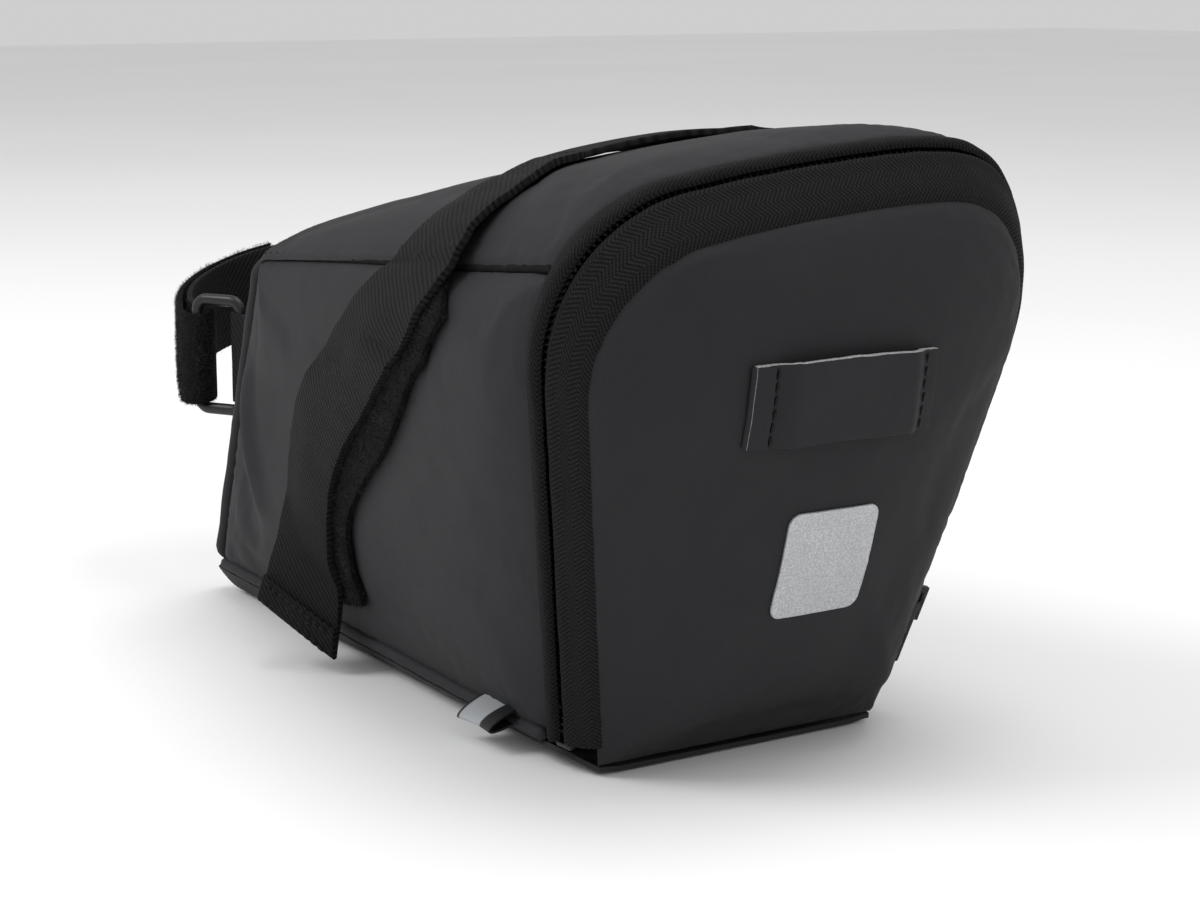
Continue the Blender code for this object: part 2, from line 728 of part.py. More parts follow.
def zip_slider():
    """Slider: outer plate, bridge through the slit, inner plate and bail."""
    at, along, across, outward = leg_frame(SLIDER_AT)
    inner_depth = COIL_DEPTH + COIL_R + 1.5 * GAP
    turn = frame_matrix(Vector(), across, along)
    top = at + outward * (SLIDER_LIFT + SLIDER_PLATE / 2)
    low = at - outward * (inner_depth + SLIDER_PLATE / 2)
    deep = SLIDER_LIFT + inner_depth + SLIDER_PLATE
    rise = BAIL_WINDOW + 2 * BAIL_SINK
    mid_post = top + outward * (SLIDER_PLATE / 2 + rise / 2 - BAIL_SINK)
    post = SLIDER_LENGTH * 0.3
    body = block((SLIDER_WIDTH, SLIDER_LENGTH, SLIDER_PLATE),
                 Matrix.Translation(top) @ turn)
    body.name = body.data.name = "zip_slider"
    shapes = [
        ((SLIDER_WIDTH, SLIDER_LENGTH * 0.9, SLIDER_PLATE), low),
        ((ZIP_SLIT * 0.5, SLIDER_LENGTH * 0.5, deep), (top + low) / 2),
        ((BAIL_BAR, 0.0014, rise), mid_post + along * post),
        ((BAIL_BAR, 0.0014, rise), mid_post - along * post),
        ((BAIL_BAR, 2 * post + 0.0014, 0.0010),
         mid_post + outward * (rise / 2 - BAIL_SINK + 0.0005)),
    ]
    for size, place in shapes:
        union(body, block(size, Matrix.Translation(place) @ turn))
    return finish(body, METAL, pivot=at, smooth=False)


def zip_pull():
    """Pull tab whose eye turns in the slider's bail, hanging down."""
    eye, along, across, _ = slider_eye()
    turn = frame_matrix(Vector(), across, along)
    middle = eye - along * (PULL_LENGTH - PULL_T) / 2
    tab = block((PULL_WIDTH, PULL_LENGTH, PULL_T),
                Matrix.Translation(middle) @ turn)
    tab.name = tab.data.name = "zip_pull"
    length = SLIDER_LENGTH * 0.3 + 0.0022
    hole = block((2 * BAIL_BAR, length, PULL_T * 3),
                 Matrix.Translation(eye - along * (PULL_T + length) / 2)
                 @ turn)
    hole.name = "pull_eye_cutter"
    for coll in list(hole.users_collection):
        coll.objects.unlink(hole)
    CUTTERS.objects.link(hole)
    hole.hide_render = True
    hole.display_type = "WIRE"
    cut = tab.modifiers.new("eye", "BOOLEAN")
    cut.operation = "DIFFERENCE"
    cut.solver = "EXACT"
    cut.object = hole
    return finish(tab, METAL, pivot=eye, smooth=False)


def zip_stop(name, hand):
    """Crimped bar that ends one leg of the zip."""
    h = ZIP_START - 0.0012
    p = ZIP_LINE.point(hand * ZIP_LINE.width_at(h), h)
    up = ZIP_LINE.point(hand * ZIP_LINE.width_at(h + 0.01), h + 0.01) - p
    matrix = frame_matrix(p + Vector((0, -hand * 0.0008, 0)),
                          Vector((1, 0, 0)), up)
    stop = block((0.0044, 0.0010, 0.0016), matrix)
    stop.name = stop.data.name = name
    return finish(stop, METAL, smooth=False)


# ------------------------------------------------------------------ rear flap
HINGE = Vector((HINGE_X, 0, FLAP_HINGE_Z))


def flap_loop(inset):
    """The flap's closed border, as (w, h) pairs, shrunk by an inset."""
    half = BORDER.half(0.0, 5, 7, 4)
    foot = [(BORDER.base * k, 0.0) for k in (0.0, 0.35, 0.7)]
    loop = foot + half
    loop = loop + [(-w, h) for w, h in reversed(loop[:-1])]
    mid_h = FLAP_HEIGHT * 0.55
    out = []
    for w, h in loop:
        reach = math.hypot(w, h - mid_h)
        k = 1 - inset / reach
        out.append((w * k, mid_h + (h - mid_h) * k))
    return out, mid_h


def flap_point(w, h, lift=0.0):
    """A point on the flap's bulged face."""
    mid_h = FLAP_HEIGHT * 0.55
    if abs(w) < 1e-9 and abs(h - mid_h) < 1e-9:
        r = 0.0
    else:
        r = border_share(w, h, mid_h)
    full = max(1 - r * r, 0.0) ** 0.8
    return Vector((HINGE_X + REAR_LEAN * h + FLAP_BULGE * full + lift, w,
                   FLAP_HINGE_Z + h))


def border_share(w, h, mid_h):
    """How far (w, h) lies from the flap's middle to its border, 0 to 1."""
    lo, hi = 0.0, 6.0
    for _ in range(26):
        k = (lo + hi) / 2
        tw, th = abs(w) * k, mid_h + (h - mid_h) * k
        inside = 0 <= th <= FLAP_HEIGHT and tw <= BORDER.width_at(th)
        lo, hi = (k, hi) if inside else (lo, k)
    return 1 / lo if lo > 0 else 1.0


SLANT = 1.45        # a sheet's thickness along X where the flap is steepest


def flap_sheet(name, inset, lift, thickness, mat, parent):
    """A sheet of the flap, as rings from its border to its middle."""
    border, mid_h = flap_loop(inset)
    shares = [1.0, 0.9, 0.72, 0.45, 0.0]

    def point(u, v):
        w, h = border[round(u * (len(border) - 1))]
        k = shares[round(v * (len(shares) - 1))]
        return flap_point(w * k, mid_h + (h - mid_h) * k, lift)
    return sheet(name, len(border) - 1, len(shares) - 1, point, thickness,
                 mat, weld=True, parent=parent, pivot=HINGE)


def lamp_loop(parent):
    """Webbing loop for a rear lamp, bowed clear of the flap."""
    half, foot = LOOP_WIDTH / 2, LOOP_FOOT
    ys = [-half, -half + foot, -half + foot + 0.0045, -0.004, 0.004,
          half - foot - 0.0045, half - foot, half]
    skin_gap = GAP + 0.0001
    lifts = [skin_gap, skin_gap, LOOP_GAP, LOOP_GAP, LOOP_GAP, LOOP_GAP,
             skin_gap, skin_gap]

    def point(u, v):
        i = round(u * (len(ys) - 1))
        h = LOOP_AT + LOOP_HEIGHT * (v - 0.5)
        return flap_point(ys[i], h, lifts[i] + LOOP_T)
    return sheet("lamp_loop", len(ys) - 1, 2, point, LOOP_T, WEBBING,
                 parent=parent, pivot=HINGE)


def reflective_patch(parent):
    """A plain square of reflective film on the flap."""
    def point(u, v):
        return flap_point(PATCH_SIZE * (u - 0.5),
                          PATCH_AT + PATCH_SIZE * (v - 0.5), GAP + PATCH_T)
    return sheet("reflective_patch", 4, 4, point, PATCH_T, SILVER,
                 parent=parent, pivot=HINGE)


# --------------------------------------------------------------------- straps
STRAP_ROUTE = [(0.330, 0.985), (0.352, 0.930), (0.378, 0.870),
               (0.410, 0.800), (0.448, 0.725), (0.492, 0.635),
               (0.530, 0.545), (0.562, 0.455), (0.588, 0.360),
               (0.606, 0.265), (0.620, 0.175), (0.632, 0.095)]
PILE_ROUTE = [(0.310, 0.910), (0.365, 0.790), (0.430, 0.650),
              (0.500, 0.480), (0.545, 0.300), (0.570, 0.130)]
TOP_ROUTE = [(0.318 + 0.006 * abs(k), k / 6.45) for k in range(-6, 7)]


def rail_strap():
    """The middle of the rail strap, sewn across the top panel."""
    return laid_strip("rail_strap", top_point, TOP_ROUTE, STRAP_WIDTH,
                      STRAP_T, STRAP_CLEAR, WEBBING)


def rail_strap_tail(name, hand):
    """A free tail of the rail strap, which peels off its pile strip."""
    lift = STRAP_CLEAR * 2 + PILE_T
    return laid_strip(
        name, lambda s, t, rise: side_point(s, t, hand, rise), STRAP_ROUTE,
        STRAP_WIDTH, STRAP_T, lift, WEBBING,
        pivot=side_point(*STRAP_ROUTE[0], hand, lift))


def pile_strip(name, hand):
    """The loop pile that a rail strap's tail grips."""
    return laid_strip(
        name, lambda s, t, rise: side_point(s, t, hand, rise), PILE_ROUTE,
        PILE_WIDTH, PILE_T, STRAP_CLEAR, PILE)


def side_tag():
    """A folded ribbon tag in the left bottom seam."""
    x = HINGE_X - TAG_AHEAD
    wide, edge = foot_edge(x)
    ahead = foot_edge(x - 0.01)[0] - foot_edge(x)[0]
    along = Vector((-0.01, -ahead, 0)).normalized()
    down = Vector((0, -0.45, -0.89)).normalized()
    at = Vector((x, -wide - 0.0040 - TAG_T, edge + 0.0016)) \
        + down * (TAG_DEPTH / 2 - 0.0035)
    tag = block((TAG_WIDTH, TAG_DEPTH, TAG_T * 2),
                frame_matrix(at, along, down))
    tag.name = tag.data.name = "side_tag"
    return finish(tag, SILVER, smooth=False)


POST_CENTRE = Vector((
    FRONT_BOTTOM_X + FRONT_SETBACK * (POST_STRAP_Z - FRONT_BOTTOM_Z)
    / (FRONT_TOP_Z - FRONT_BOTTOM_Z) - POST_CENTRE_AHEAD, 0, POST_STRAP_Z))


def post_point(angle, radius):
    """A point of the loop: angle 0 is forward, +90 degrees the right side."""
    y = radius * math.sin(angle)
    return POST_CENTRE + Vector((-radius * math.cos(angle), y,
                                 POST_TILT * y))


def front_x(z, lift):
    """World x of the front panel's plane at height z, lifted off it."""
    k = (z - FRONT_BOTTOM_Z) / (FRONT_TOP_Z - FRONT_BOTTOM_Z)
    return FRONT_BOTTOM_X + FRONT_SETBACK * k + FRONT_NORMAL.x * lift


RING_ANGLE = math.radians(-118)


def ring_place():
    """Middle and axes of the plastic ring at the loop's left rear."""
    at = post_point(RING_ANGLE, POST_R + 0.0032)
    out = Vector((-math.cos(RING_ANGLE), math.sin(RING_ANGLE), 0))
    along = Vector((math.sin(RING_ANGLE), math.cos(RING_ANGLE), 0))
    return at, out.normalized(), along.normalized()


def post_strap():
    """The seatpost strap, from the right of the front panel to the ring."""
    angles = [math.radians(100 - 196 * i / 17) for i in range(18)]
    path = [post_point(a, POST_R) for a in angles]
    normals = [Vector((-math.cos(a), math.sin(a), 0)) for a in angles]
    z = path[0].z
    root_y = POST_R * 0.92
    lift = FRONT_BELLY + STRAP_CLEAR + FLANGE_T + 2 * GAP
    root = Vector((front_x(z, lift), root_y, z))
    lead = path[0].lerp(root, 0.5) + Vector((0, 0.0012, 0))
    path = [root, lead] + path
    side_n = Vector((-0.15, 1, 0)).normalized()
    normals = [side_n, side_n] + normals
    up = Vector((0, 0, 1))
    lean = FRONT_UP.normalized()
    across = [lean, lean.lerp(up, 0.5).normalized()] + [up] * (len(path) - 2)
    return ribbon("post_strap", path, normals, STRAP_WIDTH, STRAP_T,
                  WEBBING, core=POST_CENTRE, across=across)


def post_strap_root():
    """The sewn flange that carries the seatpost strap on the right."""
    y0 = POST_R * 0.92
    z = POST_CENTRE.z + POST_TILT * y0
    rows = [z - STRAP_WIDTH / 2, z + STRAP_WIDTH / 2]

    def point(u, v):
        zz = rows[0] + (rows[1] - rows[0]) * v
        lift = FRONT_BELLY + STRAP_CLEAR + FLANGE_T
        return Vector((front_x(zz, lift), y0 - 0.0105 + 0.0150 * u, zz))
    return sheet("post_strap_root", 2, 2, point, FLANGE_T, WEBBING)


def ring_tab():
    """The short webbing tab that holds the plastic ring on the left."""
    at, out, along = ring_place()
    start = at - along * (RING_SPAN / 2 + 2 * RING_BAR + 0.0006)
    z = start.z
    end = Vector((front_x(z, FRONT_BELLY + STRAP_CLEAR + GAP),
                  start.y * 0.80, z))
    up, lean = Vector((0, 0, 1)), FRONT_UP.normalized()
    path = [start, start.lerp(end, 0.5), end]
    run = (end - start).normalized()
    n = run.cross(Vector((0, 0, 1))).normalized()
    if n.y > 0:
        n.negate()
    normals = [n] * 3
    return ribbon("ring_tab", path, normals, STRAP_WIDTH, STRAP_T, WEBBING,
                  core=Vector((start.x, 0.02, z)),
                  across=[up, lean.lerp(up, 0.5).normalized(), lean])


def post_strap_ring():
    """The rectangular plastic ring that the seatpost strap turns in."""
    at, out, along = ring_place()
    up = Vector((0, 0, 1))
    half_h = RING_INSIDE / 2 + RING_BAR
    half_w = RING_SPAN / 2 + RING_BAR
    r = 0.0022
    points = []
    for sx, sz, start in ((1, 1, 0), (-1, 1, 90), (-1, -1, 180),
                          (1, -1, 270)):
        for i in range(4):
            a = math.radians(start + 30 * i)
            points.append(at + along * (sx * (half_w - r) + r * math.cos(a))
                          + up * (sz * (half_h - r) + r * math.sin(a)))
    return tube("post_strap_ring", points, RING_BAR, PLASTIC, closed=True,
                pivot=at - along * half_w)


def post_strap_tail():
    """The strap's free tail, folded back through the ring and gripped."""
    first = RING_ANGLE + 0.44
    count = 12
    radius = POST_R + STRAP_T + 2 * RING_BAR + 0.0014
    angles = [first + TAIL_ROUND * i / count for i in range(count + 1)]
    path = []
    for i, a in enumerate(angles):
        ease = min(i / 3, 1.0)
        path.append(post_point(a, radius + (POST_R + STRAP_T + 0.0004
                                            - radius) * ease))
    normals = [Vector((-math.cos(a), math.sin(a), 0)) for a in angles]
    return ribbon("post_strap_tail", path, normals, STRAP_WIDTH, STRAP_T,
                  PILE, core=POST_CENTRE,
                  across=[Vector((0, 0, 1))] * len(path), pivot=path[0])


# ----------------------------------------------------------------- build list
def build():
    """Build every piece of the bag."""
    for name, hand in (("left", -1), ("right", 1)):
        side_panel(f"{name}_side_panel", hand)
        side_board(f"{name}_side_board", hand)
        pile_strip(f"{name}_pile_strip", hand)
        rail_strap_tail(f"{name}_strap_tail", hand)
        zip_stop(f"{name}_zip_stop", hand)
    rail_strap()
    top_panel()
    front_panel()
    bottom_panel()
    front_piping()
    top_board()
    front_board()
    bottom_board()
    body_lining()
    zip_tape("body_zip_tape", BAND, ZIP_LINE, SEAM_PULL, ZIP_SLIT / 2)
    zip_coil("body_zip_coil", -1)
    zip_slider()
    zip_pull()
    side_tag()
    post_strap()
    post_strap_root()
    ring_tab()
    post_strap_ring()
    post_strap_tail()

    hinge = pivot_empty("flap_hinge", HINGE)
    zip_tape("flap_zip_tape", ZIP_LINE, BORDER, ZIP_SLIT / 2,
             SKIN + GAP + SEAM_PULL, parent=hinge, pivot=HINGE)
    zip_coil("flap_zip_coil", 1, parent=hinge, pivot=HINGE)
    flap_sheet("rear_flap_panel", 0.0, 0.0, SKIN, FABRIC, hinge)
    flap_sheet("flap_board", 0.0075, -SLANT * (SKIN + GAP), BOARD,
               PLASTIC_SHEET, hinge)
    flap_sheet("flap_lining", 0.0062, -SLANT * (SKIN + BOARD + 2 * GAP),
               LINING, LINER, hinge)
    lamp_loop(hinge)
    reflective_patch(hinge)


build()
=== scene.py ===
"""A fabric saddle bag with a zipped rear flap, a rail strap and a post strap.

Everything is in metres. +X points at the rear flap, -Y is the left side and
+Z is up. The bag stands on its flat foot at the origin.
"""

import logging
import math
from dataclasses import dataclass
from enum import Enum
from typing import Callable, Sequence

import bmesh
import bpy
import numpy as np
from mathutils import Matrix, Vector, noise


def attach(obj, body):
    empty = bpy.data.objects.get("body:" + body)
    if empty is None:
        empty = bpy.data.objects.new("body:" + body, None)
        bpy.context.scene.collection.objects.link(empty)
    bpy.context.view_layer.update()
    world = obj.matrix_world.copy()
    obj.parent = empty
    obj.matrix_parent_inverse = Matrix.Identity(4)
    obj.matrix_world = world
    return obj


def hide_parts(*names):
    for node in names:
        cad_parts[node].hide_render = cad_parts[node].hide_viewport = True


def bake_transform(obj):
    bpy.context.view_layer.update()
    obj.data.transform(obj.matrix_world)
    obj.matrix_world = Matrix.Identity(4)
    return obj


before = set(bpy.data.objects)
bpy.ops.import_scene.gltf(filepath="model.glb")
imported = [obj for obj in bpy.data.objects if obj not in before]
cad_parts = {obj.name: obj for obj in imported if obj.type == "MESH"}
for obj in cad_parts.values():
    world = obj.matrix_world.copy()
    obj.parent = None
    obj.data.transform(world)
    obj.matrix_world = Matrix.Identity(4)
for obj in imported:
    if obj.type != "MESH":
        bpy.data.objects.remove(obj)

LOG = logging.getLogger("saddle_bag")
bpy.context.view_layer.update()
CORE = Vector((0.0, 0.0, 0.042))  # a point inside the bag
FLAP_HIGH = 0.0944
FOOT_HALF = 0.0296
STRAP_WIDTH = 0.020
CLOTH_SCALE = 10.0  # the cloth solver works best on large sheets
MM = 0.001

Colour = tuple[float, float, float]
Surface = Callable[[float, float], Vector]
Piece = bpy.types.Object


class Hand(Enum):
    """The two sides of the bag."""

    LEFT = -1
    RIGHT = 1


# ------------------------------------------------------------------- helpers
def smooth(x: float) -> float:
    """Ease x from 0 to 1, and hold it outside that range."""
    x = min(max(x, 0.0), 1.0)
    return x * x * (3.0 - 2.0 * x)


def dense(x: float, pinch: float = 0.72) -> float:
    """Crowd the evenly spaced values of 0 to 1 towards both ends."""
    return x - pinch * math.sin(2.0 * math.pi * x) / (2.0 * math.pi)


def roll(gap: float, width: float, depth: float) -> float:
    """How far a turned-in edge falls away, a gap inside its seam."""
    k = 1.0 - min(max(gap / width, 0.0), 1.0)
    return -depth * (1.0 - math.sqrt(max(1.0 - k * k, 0.0)))


def wander(x: float, y: float = 0.0, z: float = 0.0) -> float:
    """Smooth noise between about -1 and 1."""
    return noise.noise(Vector((x, y, z)))


def mound(x: float, y: float, cx: float, cy: float, rx: float,
          ry: float) -> float:
    """A soft round bump of height 1 at (cx, cy)."""
    return math.exp(-(((x - cx) / rx) ** 2 + ((y - cy) / ry) ** 2))


def crease(x: float, y: float, a: tuple[float, float],
           b: tuple[float, float], width: float) -> float:
    """A soft ridge of height 1 along the line from a to b."""
    dx, dy = b[0] - a[0], b[1] - a[1]
    k = ((x - a[0]) * dx + (y - a[1]) * dy) / (dx * dx + dy * dy)
    k = min(max(k, 0.0), 1.0)
    off = math.hypot(x - a[0] - k * dx, y - a[1] - k * dy)
    return math.exp(-(off / width) ** 2) * math.sin(
        math.pi * min(max(0.12 + 0.76 * k, 0.0), 1.0))


def spline(points: Sequence[Sequence[float]]) -> Callable[[float], Vector]:
    """A smooth line through the points.

    Args:
        points: three numbers each.

    Returns:
        A function of 0 to 1, even along the line's chords.
    """
    pts = np.array([list(p) for p in points], float)
    steps = np.linalg.norm(np.diff(pts, axis=0), axis=1)
    at = np.concatenate([[0.0], np.cumsum(steps)])
    at /= at[-1]
    slope = np.gradient(pts, at, axis=0)

    def value(k: float) -> Vector:
        k = min(max(k, 0.0), 1.0)
        i = min(int(np.searchsorted(at, k, side="right")) - 1, len(at) - 2)
        span = at[i + 1] - at[i]
        x = (k - at[i]) / span
        out = ((2 * x ** 3 - 3 * x * x + 1) * pts[i]
               + (x ** 3 - 2 * x * x + x) * span * slope[i]
               + (3 * x * x - 2 * x ** 3) * pts[i + 1]
               + (x ** 3 - x * x) * span * slope[i + 1])
        return Vector(out)
    return value


# --------------------------------------------------------------- bag geometry
@dataclass(frozen=True)
class Rail:
    """One leaning U-shaped edge of the rear: border, zip line or band.

    Args:
        forward: distance ahead of the flap's border.
        out: distance outside it at the foot.
        rise: distance above it at the top.
    """

    forward: float
    out: float
    rise: float
    lean: float = 0.27
    hinge_x: float = 0.078
    hinge_z: float = 0.0016
    flare: float = 0.2294
    arch: float = 0.16

    def __post_init__(self) -> None:
        """Work out the straight leg, the corner arc and the arch."""
        base, high = FOOT_HALF + self.out, FLAP_HIGH + self.rise
        radius = 0.0232 + self.out
        alpha, beta = math.atan(self.flare), math.atan(self.arch)
        half = self.arch / 2
        run = ((high - radius * (math.sin(alpha) + math.cos(beta))
                - half * (base + radius * (math.sin(beta)
                                           - math.cos(alpha))))
               / (math.cos(alpha) + half * math.sin(alpha)))
        shape = {
            "base": base, "high": high, "radius": radius,
            "alpha": alpha, "beta": beta,
            "cw": base + run * math.sin(alpha) - radius * math.cos(alpha),
            "ch": run * math.cos(alpha) + radius * math.sin(alpha),
            "side_h": run * math.cos(alpha)}
        shape["top_w"] = shape["cw"] + radius * math.sin(beta)
        shape["arc_h"] = shape["ch"] + radius * math.cos(beta)
        for key, value in shape.items():
            object.__setattr__(self, key, value)

    def width_at(self, h: float) -> float:
        """Half width at height h above the hinge line."""
        if h <= self.side_h:
            return self.base + h * math.tan(self.alpha)
        if h <= self.arc_h:
            reach = self.radius ** 2 - (h - self.ch) ** 2
            return self.cw + math.sqrt(max(reach, 0.0))
        return math.sqrt(max(self.high - h, 0.0) * 2 * self.top_w / self.arch)

    def height_at(self, w: float) -> float:
        """Height of the upper edge at half width w."""
        w = abs(w)
        if w <= self.top_w:
            return self.high - self.arch * w * w / (2 * self.top_w)
        reach = self.radius ** 2 - (w - self.cw) ** 2
        return self.ch + math.sqrt(max(reach, 0.0))

    def point(self, w: float, h: float) -> Vector:
        """The point at signed half width w and height h."""
        return Vector((self.hinge_x - self.forward + self.lean * h, w,
                       self.hinge_z + h))

    def arc(self, start: float) -> list[Vector]:
        """Points from the left foot over the top to the right foot."""
        half = []
        for i in range(24):
            h = start + (self.side_h - start) * i / 24
            half.append((self.width_at(h), h))
        for i in range(25):
            a = -self.alpha + (math.pi / 2 - self.beta + self.alpha) * i / 24
            half.append((self.cw + self.radius * math.cos(a),
                         self.ch + self.radius * math.sin(a)))
        for i in range(1, 17):
            w = self.top_w * (1 - i / 16)
            half.append((w, self.height_at(w)))
        return ([self.point(-w, h) for w, h in half]
                + [self.point(w, h) for w, h in reversed(half[:-1])])


@dataclass(frozen=True)
class Shell:
    """The bag's soft shell: its seams, its panels and how it sags."""

    front_bottom: Vector = Vector((-0.0836, 0.0240, 0.0064))
    front_top: Vector = Vector((-0.0516, 0.0288, 0.0768))
    seam_low: float = 0.0040
    seam_high: float = 0.0896
    belly: float = 0.0016
    front_arch: float = 0.0055
    front_belly: float = 0.0020
    flap_bulge: float = 0.0104
    border: Rail = Rail(0.0, 0.0, 0.0)
    zip_line: Rail = Rail(0.0080, 0.0028, 0.0080)
    band: Rail = Rail(0.0128, 0.0032, 0.0102)

    @property
    def up(self) -> Vector:
        """The front panel's own upward edge."""
        return Vector((self.front_top.x - self.front_bottom.x, 0.0,
                       self.front_top.z - self.front_bottom.z))

    def sag(self, p: Vector) -> Vector:
        """Lift the right shoulder and let the left one drop a little."""
        k = smooth((p.z - 0.040) / 0.050) * smooth((p.x - 0.005) / 0.075)
        dz = float(np.interp(
            p.y / MM, (-48, -38, -25, -10, 0, 10, 20, 30, 40, 48),
            (-0.2, -1.2, -1.5, -0.9, -0.2, 0.9, 2.2, 3.2, 4.4, 4.6)))
        return p + Vector((0.0, 0.0, dz * k * MM))

    def side(self, s: float, t: float, hand: int, lift: float = 0.0
             ) -> Vector:
        """A point on a side panel: s runs forward, t runs up."""
        def raw(a: float, b: float) -> Vector:
            z = self.seam_low + (self.seam_high - self.seam_low) * b
            h = z - self.band.hinge_z
            rear = self.band.point(hand * self.band.width_at(h), h)
            low, high = self.front_bottom, self.front_top
            front = low.lerp(high, b)
            front.y *= hand
            p = rear.lerp(front, a)
            p.y += hand * self.belly * math.sin(
                math.pi * min(max(a, 0), 1)) * math.sin(
                math.pi * min(max(b, 0), 1))
            return self.sag(p)
        p = raw(s, t)
        if lift:
            e = 0.01
            n = (raw(s + e, t) - raw(s - e, t)).cross(
                raw(s, t + e) - raw(s, t - e)).normalized()
            if n.y * hand < 0:
                n.negate()
            p = p + n * lift
        return p

    def dome(self, s: float, u: float) -> float:
        """How far the padded top panel stands above its straight loft."""
        along = float(np.interp(s, (0.0, 0.06, 0.16, 0.32, 0.62, 0.85, 1.0),
                                (0.0, 1.7, 3.0, 3.2, 2.3, 1.6, 0.2)))
        across = max(1.0 - (abs(u - 0.06) / 1.06) ** 2.4, 0.0)
        return along * across * MM

    def top(self, s: float, u: float, lift: float = 0.0) -> Vector:
        """A point on the top panel: s runs forward, u from left to right."""
        def raw(a: float, b: float) -> Vector:
            h_seam = self.seam_high - self.band.hinge_z
            w = b * self.band.width_at(h_seam)
            rear = self.band.point(
                w, self.band.height_at(w) if abs(b) < 1 else h_seam)
            rise = self.front_arch * (1 - b * b)
            front = Vector((self.front_top.x + rise * self.up.x / self.up.z,
                            b * self.front_top.y, self.front_top.z + rise))
            p = rear.lerp(front, a)
            p.z += self.dome(a, b)
            return self.sag(p)
        p = raw(s, u)
        if lift:
            e = 0.01
            lo, hi = max(u - e, -1), min(u + e, 1)
            n = (raw(s, hi) - raw(s, lo)).cross(
                raw(s + e, u) - raw(s - e, u)).normalized()
            if n.z < 0:
                n.negate()
            p = p + n * lift
        return p

    def over_top(self, x: float, y: float, lift: float) -> Vector:
        """The point above the top panel at a plan position."""
        s, u = 0.4, 0.0
        for _ in range(12):
            p = self.top(s, u)
            s += (p.x - x) / 0.142
            w = max(abs(self.top(s, 0.999).y), 0.01)
            u = min(max(y / w, -0.995), 0.995)
        p = self.top(s, u, lift)
        return Vector((p.x, y, p.z))

    def front(self, u: float, v: float, lift: float = 0.0) -> Vector:
        """A point on the front panel: u across and v up, 0 to 1."""
        half = (self.front_bottom.y
                + (self.front_top.y - self.front_bottom.y) * v)
        b = 2 * u - 1
        base = Vector((self.front_bottom.x, 0, self.front_bottom.z))
        base += self.up * v
        base += self.up * (self.front_arch * (1 - b * b) * v / self.up.z)
        base.y = b * half
        full = math.sin(math.pi * min(max(u, 0), 1)) * math.sin(
            math.pi * min(max(v, 0), 1))
        n = Vector((-self.up.z, 0, self.up.x)).normalized()
        return base + n * (lift + self.front_belly * full)

    def foot_edge(self, x: float) -> tuple[float, float]:
        """Half width and height of the bottom seam at a place along X."""
        joint = self.band.point(0, self.seam_low - self.band.hinge_z).x
        wide = self.band.width_at(self.seam_low - self.band.hinge_z)
        if x > joint:
            k = (self.band.hinge_x - x) / (self.band.hinge_x - joint)
            return (FOOT_HALF + (wide - FOOT_HALF) * k,
                    self.band.hinge_z
                    + (self.seam_low - self.band.hinge_z) * k)
        k = (joint - x) / (joint - self.front_bottom.x)
        return (wide + (self.front_bottom.y - wide) * k,
                self.seam_low + (self.front_bottom.z - self.seam_low) * k)

    def share(self, w: float, h: float) -> float:
        """How far a flap point lies from its middle to its border."""
        mid = FLAP_HIGH * 0.55
        if abs(w) < 1e-9 and abs(h - mid) < 1e-9:
            return 0.0
        lo, hi = 0.0, 8.0
        for _ in range(22):
            k = (lo + hi) / 2
            tw, th = abs(w) * k, mid + (h - mid) * k
            inside = 0 <= th <= FLAP_HIGH and tw <= self.border.width_at(th)
            lo, hi = (k, hi) if inside else (lo, k)
        return 1 / lo if lo > 0 else 1.0

    def flap(self, w: float, h: float, lift: float = 0.0) -> Vector:
        """A point on the flap's bulged face."""
        r = self.share(w, h)
        full = max(1 - r * r, 0.0) ** 0.8
        p = Vector((self.border.hinge_x + self.border.lean * h
                    + self.flap_bulge * full + lift, w,
                    self.border.hinge_z + h))
        return self.sag(p)

    def stations(self, count: int, start: float = 0.0036
                 ) -> list[tuple[Vector, Vector, Vector]]:
        """Matching band, zip and border points, even along the zip."""
        arcs = [rail.arc(start) for rail in
                (self.band, self.zip_line, self.border)]
        line = np.array(arcs[1])
        at = np.concatenate([[0.0], np.cumsum(
            np.linalg.norm(np.diff(line, axis=0), axis=1))])
        out = []
        for i in range(count + 1):
            k = float(np.interp(at[-1] * i / count, at, np.arange(len(at))))
            j = min(int(k), len(line) - 2)
            out.append(tuple(self.sag(arc[j].lerp(arc[j + 1], k - j))
                             for arc in arcs))
        return out


SHELL = Shell()


